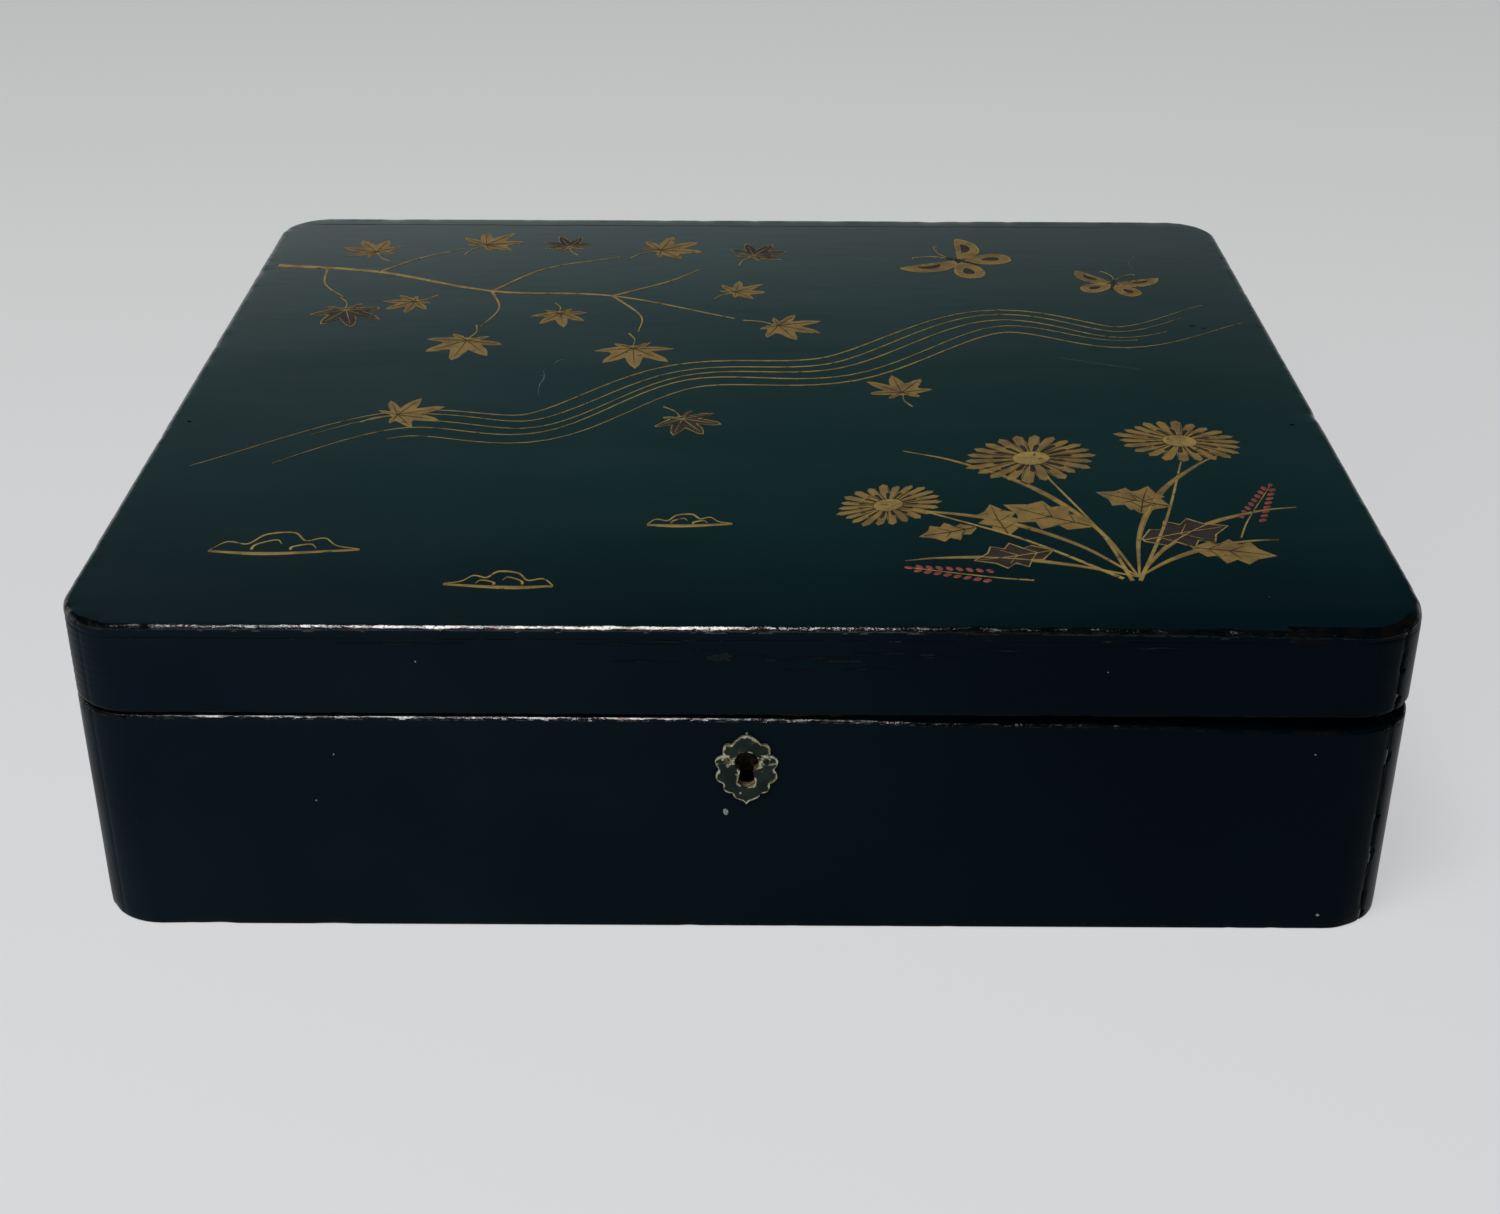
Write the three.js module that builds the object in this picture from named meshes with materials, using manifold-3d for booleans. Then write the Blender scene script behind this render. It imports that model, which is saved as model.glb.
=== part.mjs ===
// A lacquered document box: a wooden case with rounded corners, a flush lid hinged at the back,
// an inner lip that the lid closes over, and a sliding-bolt lock let into the front wall
// behind a petalled brass keyhole plate.
// Millimetres. X runs along the width, Y from front to back, Z up.
// The origin is the middle of the underside.

import * as THREE from "three";
import { mergeVertices } from "three/addons/utils/BufferGeometryUtils.js";
import Module from "manifold-3d";

const wasm = await Module();
wasm.setup();

// Driving dimensions of the case
const boxWidth = 330;
const boxDepth = 302;
const baseHeight = 62.5;
const lidHeight = 24.7;
const partingGap = 0.5;
const cornerRadius = 16.6;
const wallThickness = 7.5;
const bottomThickness = 5;
const topThickness = 3.6;
const topArrisRadius = 1.2;
const footArrisRadius = 1;
const rimBevel = 0.5;

// Joints of the boards: the wood that a rabbet leaves outside the piece let into it
const cornerLap = 3.7;
const bottomLap = 3.7;
const cornerBlockReach = 6.2;

// Inner lip
const lipThickness = 2.4;
const lipBelowRim = 9;
const lipAboveRim = 3.2;
const lipGap = 0.4;
const lipRounding = 0.5;
const lipMitreGap = 0.2;
const lipLockGap = 0.5;

// How closely the pieces fit
const glueLine = 0.1;
const mortiseGap = 0.15;
const runningGap = 0.4;
const screwHoleGap = 0.15;
const cutOverrun = 2;

// Hinges
const hingeSpacing = 190;
const hingeInset = 1.6;
const leafLength = 34;
const leafThickness = 0.9;
const barrelRadius = 1.8;
const hingePinRadius = 0.7;
const hingePinGap = 0.1;
const hingePinHeadRadius = 1.3;
const hingePinHeadLength = 0.6;
const knuckleGap = 0.3;
const middleKnuckle = 12;
const bevelDegrees = 51;
const hingeScrewSpacing = 12;

// Countersunk screws of the hinges, the strike plate and the lock
const screwHeadRadius = 1.3;
const screwHeadDepth = 0.7;
const screwShankRadius = 0.65;
const screwLength = 6;
const lockScrewLength = 4.5;
const screwSlotWidth = 0.4;
const screwSlotDepth = 0.3;
const screwTipRadius = 0.2;
const screwTipLength = 1.2;
const screwSink = 0.1;

// Keyhole, measured from the middle of its round head
const lockOffset = 1.1;
const keyholeDrop = 12.2;
const keyholeHeadRadius = 3;
const keyholeNeckWidth = 3.2;
const keyholeFootWidth = 4.4;
const keyholeFlareDrop = 5.8;
const keyholeFootDrop = 7.3;
const keyholeWoodMargin = 0.3;

// Keyhole plate
const escutcheonWidth = 15.4;
const escutcheonHeight = 19.9;
const escutcheonThickness = 0.8;
const escutcheonDrop = 14.4;
const escutcheonPinSpacing = 9.6;
const escutcheonPinRise = 0.4;
const escutcheonPinRadius = 0.35;
const escutcheonPinHead = 0.75;
const escutcheonPinHeadHeight = 0.35;
const escutcheonPinLength = 1.6;

// Right half of the keyhole plate's outline, as shares of its half width and half height:
// the notches from the top round to the foot, and how far each petal after a notch swells.
const petalNotchShares = [
  [0.46, 0.74],
  [0.74, 0.43],
  [0.87, 0.02],
  [0.74, -0.4],
  [0.44, -0.67],
];
const petalSwellShares = [0.18, 0.206, 0.18, 0.14];
const topPetalSwellShare = 0.336;
const footPetalSwellShare = 0.11;
const footDrawShare = 0.25;
const footRiseShare = 0.09;
const pinDomeShoulderShare = 0.87;

// Lock
const lockPlateWidth = 46;
const lockPlateBelowKey = 10.5;
const lockPlateThickness = 0.9;
const lockCapWidth = 36;
const lockCapBelowKey = 8.6;
const lockCapThickness = 0.6;
const lockCaseDepth = 3.7;
const lockScrewSpacing = 41;
const lockScrewAboveKey = 5.5;
const lockScrewBelowKey = 6;
const guidePinRadius = 0.7;
const guidePinSpacing = 18;

// Sliding bolt and its leaf spring
const boltTravel = 4;
const boltBarAboveKey = 4.6;
const boltBarHeight = 2.3;
const boltProngThickness = 1.2;
const boltProngHeight = 2.2;
const boltPostWidth = 2;
const talonWidth = 5;
const talonDepth = 1.4;
const springThickness = 0.35;
const springLength = 7;
const springWidth = 2;
const springFootShare = 0.3;

// Strike plate of the lid with its two loops
const strikeWidth = 34;
const strikeDepth = 5.2;
const strikeThickness = 0.9;
const strikeScrewSpacing = 27;
const loopSpacing = 17;
const loopWidth = 2;
const loopSideGap = 0.3;
const loopLeg = 0.6;
const loopFoot = 0.7;
const eyeGap = 0.4;

// How finely round shapes are cut
const cornerSteps = 12;
const arrisSteps = 4;
const rodSides = 20;
const screwSides = 12;
const petalSteps = 6;
const keyholeSteps = 12;
const springSteps = 10;

// Places that follow from the sizes
const halfWidth = boxWidth / 2;
const frontY = -boxDepth / 2;
const backY = boxDepth / 2;
const frontInnerY = frontY + wallThickness;
const backInnerY = backY - wallThickness;
const shoulderX = halfWidth - wallThickness;
const rimZ = baseHeight;
const lidZ = baseHeight + partingGap;
const lidTopZ = lidZ + lidHeight;
const topBoardZ = lidTopZ - topThickness;
const hingeY = backY - hingeInset;
const hingeZ = rimZ + partingGap / 2;
const keyZ = rimZ - keyholeDrop;

const lacquer = new THREE.MeshStandardMaterial({ color: 0x0d1a1e, roughness: 0.32, metalness: 0 });
const innerLacquer = new THREE.MeshStandardMaterial({ color: 0x17100c, roughness: 0.35, metalness: 0 });
const brass = new THREE.MeshStandardMaterial({ color: 0x8a7746, roughness: 0.45, metalness: 1 });
const darkBrass = new THREE.MeshStandardMaterial({ color: 0x4a4a35, roughness: 0.5, metalness: 1 });
const steel = new THREE.MeshStandardMaterial({ color: 0x4b4742, roughness: 0.5, metalness: 1 });

// Solids and booleans

// A three.js geometry as a solid that can be joined and cut.
function solidOf(geometry) {
  const bare = geometry.clone();
  bare.deleteAttribute("normal");
  bare.deleteAttribute("uv");
  const merged = mergeVertices(bare);
  const mesh = new wasm.Mesh({
    numProp: 3,
    vertProperties: new Float32Array(merged.attributes.position.array),
    triVerts: new Uint32Array(merged.index.array),
  });
  return new wasm.Manifold(mesh);
}

// A solid as a three.js geometry with flat faces.
function geometryOf(solid) {
  const mesh = solid.getMesh();
  const geometry = new THREE.BufferGeometry();
  geometry.setAttribute("position", new THREE.BufferAttribute(mesh.vertProperties, mesh.numProp));
  geometry.setIndex(new THREE.BufferAttribute(mesh.triVerts, 1));
  const flat = geometry.toNonIndexed();
  flat.computeVertexNormals();
  return flat;
}

// A box between two opposite corners.
function block(low, high) {
  const geometry = new THREE.BoxGeometry(high[0] - low[0], high[1] - low[1], high[2] - low[2]);
  geometry.translate((low[0] + high[0]) / 2, (low[1] + high[1]) / 2, (low[2] + high[2]) / 2);
  return solidOf(geometry);
}

// A round rod about the X axis between two ends.
function rodAlongX(radius, from, to) {
  const geometry = new THREE.CylinderGeometry(radius, radius, to - from, rodSides);
  geometry.rotateZ(Math.PI / 2);
  geometry.translate((from + to) / 2, 0, 0);
  return solidOf(geometry);
}

// A round rod about the Y axis between two ends.
function rodAlongY(radius, from, to) {
  const geometry = new THREE.CylinderGeometry(radius, radius, to - from, screwSides);
  geometry.translate(0, (from + to) / 2, 0);
  return solidOf(geometry);
}

// An outline drawn in X and Z, extruded along Y between two planes.
function plateInXZ(shape, fromY, toY, curveSegments) {
  const options = { depth: toY - fromY, bevelEnabled: false, curveSegments };
  const geometry = new THREE.ExtrudeGeometry(shape, options);
  geometry.rotateX(Math.PI / 2);
  geometry.translate(0, toY, 0);
  return solidOf(geometry);
}

// An outline drawn in X and Y, extruded upwards.
function plateInXY(shape, fromZ, toZ) {
  const geometry = new THREE.ExtrudeGeometry(shape, { depth: toZ - fromZ, bevelEnabled: false });
  geometry.translate(0, 0, fromZ);
  return solidOf(geometry);
}

// An outline drawn in Y and Z, extruded along X between two planes.
function beamInYZ(shape, fromX, toX) {
  const geometry = new THREE.ExtrudeGeometry(shape, { depth: toX - fromX, bevelEnabled: false });
  const turn = new THREE.Matrix4().makeBasis(
    new THREE.Vector3(0, 1, 0),
    new THREE.Vector3(0, 0, 1),
    new THREE.Vector3(1, 0, 0),
  );
  geometry.applyMatrix4(turn);
  geometry.translate(fromX, 0, 0);
  return solidOf(geometry);
}

// A solid of revolution about the Z axis through points of radius and height.
function turnedSolid(profile) {
  const points = profile.map(([radius, height]) => new THREE.Vector2(radius, height));
  const geometry = new THREE.LatheGeometry(points, screwSides);
  geometry.rotateX(Math.PI / 2);
  return solidOf(geometry);
}

// The box's rounded outline, anticlockwise, drawn in by inset.
function roundedOutline(inset) {
  const radius = cornerRadius - inset;
  const centreX = halfWidth - cornerRadius;
  const centreY = backY - cornerRadius;
  const points = [];
  for (let corner = 0; corner < 4; corner++) {
    const signX = corner === 0 || corner === 3 ? 1 : -1;
    const signY = corner < 2 ? 1 : -1;
    for (let step = 0; step <= cornerSteps; step++) {
      const angle = ((corner + step / cornerSteps) * Math.PI) / 2;
      points.push([signX * centreX + radius * Math.cos(angle), signY * centreY + radius * Math.sin(angle)]);
    }
  }
  return points;
}

// A closed body through rounded outlines: each level is its inset and its height, from the lowest up.
function roundedStack(levels) {
  const rings = levels.map((level) => roundedOutline(level.inset));
  const count = rings[0].length;
  const positions = [];
  rings.forEach((ring, i) => ring.forEach(([x, y]) => positions.push(x, y, levels[i].z)));
  const faces = [];
  for (let i = 0; i + 1 < rings.length; i++) {
    for (let j = 0; j < count; j++) {
      const a = i * count + j;
      const b = i * count + ((j + 1) % count);
      faces.push(a, b, b + count, a, b + count, a + count);
    }
  }
  const top = (rings.length - 1) * count;
  for (let j = 1; j + 1 < count; j++) {
    faces.push(0, j + 1, j);
    faces.push(top, top + j, top + j + 1);
  }
  const geometry = new THREE.BufferGeometry();
  geometry.setAttribute("position", new THREE.Float32BufferAttribute(positions, 3));
  geometry.setIndex(faces);
  return solidOf(geometry);
}

// The levels of a quarter-round arris between the wall and a level face at height z.
// The direction is 1 for an arris below that face and -1 for one above it.
function arrisLevels(radius, z, direction) {
  const levels = [];
  for (let step = 0; step <= arrisSteps; step++) {
    const angle = ((step / arrisSteps) * Math.PI) / 2;
    const inset = radius * (1 - Math.cos(angle));
    levels.push({ inset, z: z - direction * radius * (1 - Math.sin(angle)) });
  }
  return direction > 0 ? levels : levels.reverse();
}

// A piece of the model with its name and finish.
function piece(name, solid, material) {
  const mesh = new THREE.Mesh(geometryOf(solid), material);
  mesh.name = name;
  return mesh;
}

// Screws

// A countersunk wood screw with a slotted head, its head up at the origin and its tip down.
function screwSolid(length) {
  const screw = turnedSolid([
    [0, -length],
    [screwTipRadius, -length],
    [screwShankRadius, -length + screwTipLength],
    [screwShankRadius, -screwHeadDepth],
    [screwHeadRadius, 0],
    [0, 0],
  ]);
  const slot = block(
    [-screwHeadRadius - cutOverrun, -screwSlotWidth / 2, -screwSlotDepth],
    [screwHeadRadius + cutOverrun, screwSlotWidth / 2, cutOverrun],
  );
  return screw.subtract(slot);
}

// The hole that a countersunk screw needs, open above its head.
function screwHole(length) {
  const shank = screwShankRadius + screwHoleGap;
  const head = screwHeadRadius + screwHoleGap;
  const end = -length - screwHoleGap;
  return turnedSolid([
    [0, end],
    [shank, end],
    [shank, -screwHeadDepth],
    [head, 0],
    [head, cutOverrun],
    [0, cutOverrun],
  ]);
}

// Keyhole

// The keyhole's outline in X and Z, grown by margin: a round head over a flared foot.
function keyholeShape(margin) {
  const head = keyholeHeadRadius + margin;
  const neck = keyholeNeckWidth / 2 + margin;
  const foot = keyholeFootWidth / 2 + margin;
  const bottom = keyholeFootDrop + margin;
  const meet = Math.asin(neck / head);
  const shape = new THREE.Shape();
  shape.moveTo(neck, -head * Math.cos(meet));
  shape.absarc(0, 0, head, -Math.PI / 2 + meet, (3 * Math.PI) / 2 - meet, false);
  shape.lineTo(-foot, -keyholeFlareDrop);
  shape.quadraticCurveTo(0, keyholeFlareDrop - 2 * bottom, foot, -keyholeFlareDrop);
  return shape;
}

function keyholeCut(margin, fromY, toY) {
  return plateInXZ(keyholeShape(margin), fromY, toY, keyholeSteps);
}

// Hinge, in its own frame: the pin lies on the X axis, and the wall is on the side of negative Y

const knuckleEnd = leafLength / 2;
const middleHalf = middleKnuckle / 2;
const leafInnerY = hingeInset - wallThickness;
const leafOuterY = -barrelRadius - knuckleGap;
const leafHighZ = -partingGap / 2;
const leafLowZ = leafHighZ - leafThickness;
const leafScrewY = (leafInnerY + leafOuterY) / 2;
const hingeScrewPlaces = [-hingeScrewSpacing, 0, hingeScrewSpacing];

function hingeScrewHole(x) {
  return screwHole(screwLength).translate([x, leafScrewY, leafHighZ - screwSink]);
}

// A lower leaf, whose knuckles are the stretches of the barrel given in spans.
function leafSolid(spans) {
  let leaf = block([-knuckleEnd, leafInnerY, leafLowZ], [knuckleEnd, leafOuterY, leafHighZ]);
  for (const [from, to] of spans) {
    const web = block([from, leafOuterY - knuckleGap, leafLowZ], [to, 0, leafHighZ]);
    leaf = leaf.add(web).add(rodAlongX(barrelRadius, from, to));
  }
  leaf = leaf.subtract(rodAlongX(hingePinRadius + hingePinGap, -leafLength, leafLength));
  for (const x of hingeScrewPlaces) {
    leaf = leaf.subtract(hingeScrewHole(x));
  }
  return leaf;
}

function hingePinSolid() {
  const neck = knuckleEnd + hingePinGap;
  const end = neck + hingePinHeadLength;
  const rod = rodAlongX(hingePinRadius, -end, end);
  return rod.add(rodAlongX(hingePinHeadRadius, -end, -neck)).add(rodAlongX(hingePinHeadRadius, neck, end));
}

// What a hinge takes out of the wall: the leaf's bed, room for the barrel, and the screw holes.
function hingeBed() {
  const bedHalf = knuckleEnd + mortiseGap;
  const barrelHalf = knuckleEnd + hingePinGap + hingePinHeadLength + runningGap;
  const bed = block(
    [-bedHalf, leafInnerY - cutOverrun, leafLowZ - mortiseGap],
    [bedHalf, 0, cutOverrun],
  );
  let cut = bed.add(rodAlongX(barrelRadius + runningGap, -barrelHalf, barrelHalf));
  for (const x of hingeScrewPlaces) {
    cut = cut.add(hingeScrewHole(x));
  }
  return cut;
}

// The wedge cut off the wall's back edge, from the hinge axis outwards and down.
// The bevels of base and lid meet when the lid is fully open, and that is what stops it.
function backBevel() {
  const reach = hingeInset + cutOverrun;
  const drop = reach * Math.tan(THREE.MathUtils.degToRad(bevelDegrees));
  const shape = new THREE.Shape();
  shape.moveTo(0, 0);
  shape.lineTo(reach, -drop);
  shape.lineTo(reach, cutOverrun);
  shape.lineTo(0, cutOverrun);
  return beamInYZ(shape, -halfWidth - cutOverrun, halfWidth + cutOverrun);
}

// Turns a shape of the hinge's lower half into that of the upper half.
function upperHalf(solid) {
  return solid.mirror([0, 0, 1]);
}

// Lock, in its own frame: X and Z from the middle of the keyhole's head, Y from the wall's inner face

const caseBackY = -lockPlateThickness;
const caseFrontY = caseBackY - lockCaseDepth;
const capFrontY = caseFrontY - lockCapThickness;
const caseMiddleY = (caseBackY + caseFrontY) / 2;
const caseTopZ = keyholeDrop - lockPlateThickness;
const loopPlaces = [-loopSpacing / 2, loopSpacing / 2];
const slotHalf = loopWidth / 2 + runningGap;
const barHighZ = boltBarAboveKey + boltBarHeight;
const prongHighZ = caseTopZ - runningGap;
const prongLowZ = prongHighZ - boltProngHeight;
const prongReach = boltTravel + runningGap;
const prongTips = loopPlaces.map((x) => x - slotHalf);
const barLeftX = prongTips[0] - prongReach - boltPostWidth;
const barRightX = prongTips[1];

// A lock screw goes forward into the front wall from its inner face.
const lockScrewPlaces = [-1, 1].flatMap((side) => [
  [(side * lockScrewSpacing) / 2, lockScrewAboveKey],
  [(side * lockScrewSpacing) / 2, -lockScrewBelowKey],
]);

function lockScrewHole([x, z]) {
  return screwHole(lockScrewLength).rotate([-90, 0, 0]).translate([x, -screwSink, z]);
}

// The pins stand under the bar's reach at both ends of its travel.
function guidePinPlaces() {
  const middle = (barLeftX + barRightX + boltTravel) / 2;
  return [middle - guidePinSpacing / 2, middle + guidePinSpacing / 2];
}

function guidePinSolid(margin, fromY, toY) {
  const z = boltBarAboveKey - runningGap - guidePinRadius;
  return rodAlongY(guidePinRadius + margin, fromY, toY).translate([0, 0, z]);
}

// The L-shaped plate: its upright lies in the wall's inner face, and its top edge shows in the rim.
function lockPlateSolid() {
  const half = lockPlateWidth / 2;
  const upright = block([-half, caseBackY, -lockPlateBelowKey], [half, 0, keyholeDrop]);
  const topEdge = block([-half, capFrontY, caseTopZ], [half, 0, keyholeDrop]);
  let plate = upright.add(topEdge);
  for (const x of loopPlaces) {
    const slot = block(
      [x - slotHalf, caseFrontY, caseTopZ - cutOverrun],
      [x + slotHalf, caseBackY, keyholeDrop + cutOverrun],
    );
    plate = plate.subtract(slot);
  }
  for (const place of lockScrewPlaces) {
    plate = plate.subtract(lockScrewHole(place));
  }
  for (const x of guidePinPlaces()) {
    const hole = guidePinSolid(glueLine, caseBackY - cutOverrun, cutOverrun);
    plate = plate.subtract(hole.translate([x, 0, 0]));
  }
  return plate;
}

// The cap that closes the works in towards the front, pierced by the keyhole.
function lockCapSolid() {
  const half = lockCapWidth / 2;
  const top = caseTopZ - glueLine;
  const back = caseBackY - glueLine;
  const outer = block([-half, capFrontY, -lockCapBelowKey], [half, back, top]);
  const inner = block(
    [-half + lockCapThickness, caseFrontY, -lockCapBelowKey + lockCapThickness],
    [half - lockCapThickness, back + cutOverrun, top + cutOverrun],
  );
  return outer.subtract(inner).subtract(keyholeCut(0, capFrontY - cutOverrun, caseBackY));
}

// The bolt: a bar notched for the key, and two hooks whose prongs slide into the loops.
function boltSolid() {
  const barFrontY = caseFrontY + runningGap;
  const barBackY = caseBackY - runningGap;
  const prongFrontY = caseMiddleY - boltProngThickness / 2;
  const prongBackY = caseMiddleY + boltProngThickness / 2;
  let bolt = block([barLeftX, barFrontY, boltBarAboveKey], [barRightX, barBackY, barHighZ]);
  for (const tip of prongTips) {
    const postRight = tip - prongReach;
    const postLeft = postRight - boltPostWidth;
    const post = block([postLeft, prongFrontY, boltBarAboveKey], [postRight, prongBackY, prongHighZ]);
    const prong = block([postLeft, prongFrontY, prongLowZ], [tip, prongBackY, prongHighZ]);
    bolt = bolt.add(post).add(prong);
  }
  const talonMiddle = -boltTravel / 2;
  const talon = block(
    [talonMiddle - talonWidth / 2, caseFrontY, boltBarAboveKey - cutOverrun],
    [talonMiddle + talonWidth / 2, caseBackY, boltBarAboveKey + talonDepth],
  );
  return bolt.subtract(talon);
}

// A leaf spring whose foot lies on the bar against a hook, and whose free end rises to the case's roof.
function boltSpringSolid() {
  const right = prongTips[1] - prongReach - boltPostWidth - glueLine;
  const low = barHighZ + glueLine;
  const rise = caseTopZ - runningGap - springThickness - low;
  const under = [];
  const over = [];
  for (let step = 0; step <= springSteps; step++) {
    const share = step / springSteps;
    const bent = Math.max(0, share - springFootShare) / (1 - springFootShare);
    const x = right - springLength * share;
    const z = low + rise * bent ** 2;
    under.push(new THREE.Vector2(x, z));
    over.push(new THREE.Vector2(x, z + springThickness));
  }
  const shape = new THREE.Shape([...under, ...over.reverse()]);
  return plateInXZ(shape, caseMiddleY - springWidth / 2, caseMiddleY + springWidth / 2, springSteps);
}

// What the lock takes out of the front wall: the case's mortise, the plate's bed and the screw holes.
function lockMortise() {
  const capHalf = lockCapWidth / 2 + mortiseGap;
  const plateHalf = lockPlateWidth / 2 + mortiseGap;
  const mortiseFrontY = capFrontY - mortiseGap;
  const highZ = keyholeDrop + cutOverrun;
  const caseRoom = block(
    [-capHalf, mortiseFrontY, -lockCapBelowKey - mortiseGap],
    [capHalf, cutOverrun, highZ],
  );
  const plateRoom = block(
    [-plateHalf, caseBackY - mortiseGap, -lockPlateBelowKey - mortiseGap],
    [plateHalf, cutOverrun, highZ],
  );
  const edgeRoom = block([-plateHalf, mortiseFrontY, caseTopZ - mortiseGap], [plateHalf, cutOverrun, highZ]);
  let cut = caseRoom.add(plateRoom).add(edgeRoom);
  for (const place of lockScrewPlaces) {
    cut = cut.add(lockScrewHole(place));
  }
  return cut;
}

// Strike plate, in its own frame: X and Y as the lock's, Z from the lid's lower edge

const strikeAboveKey = keyholeDrop + partingGap;
const eyeHighZ = prongHighZ + eyeGap - strikeAboveKey;
const eyeLowZ = prongLowZ - eyeGap - strikeAboveKey;
const strikeScrewPlaces = [-strikeScrewSpacing / 2, strikeScrewSpacing / 2];

// A strike screw goes up into the lid's front wall.
function strikeScrewHole(x) {
  return screwHole(screwLength).rotate([180, 0, 0]).translate([x, caseMiddleY, screwSink]);
}

// The loop hangs into the lock through its slot, and the prong passes through its eye.
function loopSolid() {
  const frontSide = caseFrontY + loopSideGap;
  const backSide = caseBackY - loopSideGap;
  const outer = block([-loopWidth / 2, frontSide, eyeLowZ - loopFoot], [loopWidth / 2, backSide, strikeThickness]);
  const eye = block(
    [-loopWidth, frontSide + loopLeg, eyeLowZ],
    [loopWidth, backSide - loopLeg, eyeHighZ],
  );
  return outer.subtract(eye);
}

function strikePlateSolid() {
  let plate = block([-strikeWidth / 2, -strikeDepth, 0], [strikeWidth / 2, 0, strikeThickness]);
  for (const x of loopPlaces) {
    plate = plate.add(loopSolid().translate([x, 0, 0]));
  }
  for (const x of strikeScrewPlaces) {
    plate = plate.subtract(strikeScrewHole(x));
  }
  return plate;
}

function strikeBed() {
  const bedHalf = strikeWidth / 2 + mortiseGap;
  let cut = block(
    [-bedHalf, -strikeDepth - mortiseGap, -cutOverrun],
    [bedHalf, cutOverrun, strikeThickness + mortiseGap],
  );
  for (const x of strikeScrewPlaces) {
    cut = cut.add(strikeScrewHole(x));
  }
  return cut;
}

// Keyhole plate, in its own frame: X and Z from the middle of the keyhole's head, Y from its back face

const escutcheonMiddleZ = keyholeDrop - escutcheonDrop;
const escutcheonPinPlaces = [-escutcheonPinSpacing / 2, escutcheonPinSpacing / 2];

// A point of the outline from its shares, on the right for side 1 and on the left for side -1.
function outlinePoint(side, [shareX, shareZ]) {
  const x = (side * shareX * escutcheonWidth) / 2;
  const z = (shareZ * escutcheonHeight) / 2;
  return new THREE.Vector2(x, escutcheonMiddleZ + z);
}

// One petal: a curve to the next notch that swells away from the plate's middle.
function addPetal(shape, from, to, swellShare) {
  const middle = from.clone().add(to).multiplyScalar(1 / 2);
  const outwards = middle.clone().sub(new THREE.Vector2(0, escutcheonMiddleZ)).normalize();
  const control = middle.addScaledVector(outwards, swellShare * escutcheonWidth);
  shape.quadraticCurveTo(control.x, control.y, to.x, to.y);
}

// The petals run from the top notch down the right side to the pointed foot, and up the left side.
function escutcheonShape() {
  const right = petalNotchShares.map((shares) => outlinePoint(1, shares));
  const left = petalNotchShares.map((shares) => outlinePoint(-1, shares)).reverse();
  const leftSwells = [...petalSwellShares].reverse();
  const foot = outlinePoint(1, [0, -1]);
  const shape = new THREE.Shape();
  shape.moveTo(right[0].x, right[0].y);
  petalSwellShares.forEach((swell, i) => addPetal(shape, right[i], right[i + 1], swell));
  addFootPetal(shape, right.at(-1), foot, 1);
  addFootPetal(shape, foot, left[0], -1);
  leftSwells.forEach((swell, i) => addPetal(shape, left[i], left[i + 1], swell));
  addPetal(shape, left.at(-1), right[0], topPetalSwellShare);
  return shape;
}

// Half of the foot's ogee: it swells below the notch and draws in to the point.
function addFootPetal(shape, from, to, side) {
  const foot = side > 0 ? to : from;
  const notch = side > 0 ? from : to;
  const swell = new THREE.Vector2(notch.x, notch.y - footPetalSwellShare * escutcheonHeight);
  const draw = new THREE.Vector2(footDrawShare * notch.x, foot.y + footRiseShare * escutcheonHeight);
  const first = side > 0 ? swell : draw;
  const second = side > 0 ? draw : swell;
  shape.bezierCurveTo(first.x, first.y, second.x, second.y, to.x, to.y);
}

function escutcheonPinHole(x) {
  const radius = escutcheonPinRadius + screwHoleGap;
  const end = escutcheonPinLength + screwHoleGap;
  return rodAlongY(radius, -escutcheonThickness - cutOverrun, end).translate([x, 0, escutcheonPinRise]);
}

function escutcheonSolid() {
  let plate = plateInXZ(escutcheonShape(), -escutcheonThickness, 0, petalSteps);
  plate = plate.subtract(keyholeCut(0, -escutcheonThickness - cutOverrun, cutOverrun));
  for (const x of escutcheonPinPlaces) {
    plate = plate.subtract(escutcheonPinHole(x));
  }
  return plate;
}

// A round-headed pin, its head out and its shank in towards positive Y.
function escutcheonPinSolid() {
  const headFace = escutcheonThickness + glueLine;
  const dome = headFace + escutcheonPinHeadHeight;
  const shoulder = headFace + escutcheonPinHeadHeight / 2;
  const pin = turnedSolid([
    [0, -escutcheonPinLength],
    [escutcheonPinRadius, -escutcheonPinLength],
    [escutcheonPinRadius, headFace],
    [escutcheonPinHead, headFace],
    [escutcheonPinHead * pinDomeShoulderShare, shoulder],
    [0, dome],
  ]);
  return pin.rotate([90, 0, 0]);
}

// The wooden case

// The base's outer form, with its foot arris and the bevel of its rim.
function baseForm() {
  return roundedStack([
    ...arrisLevels(footArrisRadius, 0, -1),
    { inset: 0, z: rimZ - rimBevel },
    { inset: rimBevel, z: rimZ },
  ]);
}

// The lid's outer form, with the bevel of its lower edge and its top arris.
function lidForm() {
  return roundedStack([
    { inset: rimBevel, z: lidZ },
    { inset: 0, z: lidZ + rimBevel },
    ...arrisLevels(topArrisRadius, lidTopZ, 1),
  ]);
}

// The rabbets at both ends of a front board that take the ends of the side boards, up to height toZ.
function endRabbets(fromZ, toZ) {
  const right = block(
    [shoulderX, frontY + cornerLap, fromZ - cutOverrun],
    [halfWidth + cutOverrun, frontInnerY + cutOverrun, toZ],
  );
  return right.add(right.mirror([1, 0, 0]));
}

function frontBoard(form, fromZ, toZ) {
  const board = block([-halfWidth, frontY, fromZ], [halfWidth, frontInnerY, toZ]);
  return board.subtract(endRabbets(fromZ, toZ + cutOverrun)).intersect(form);
}

function backBoard(form, fromZ, toZ, rabbetTopZ) {
  const board = block([-halfWidth, backInnerY, fromZ], [halfWidth, backY, toZ]);
  return board.subtract(endRabbets(fromZ, rabbetTopZ).mirror([0, 1, 0])).intersect(form);
}

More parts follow.
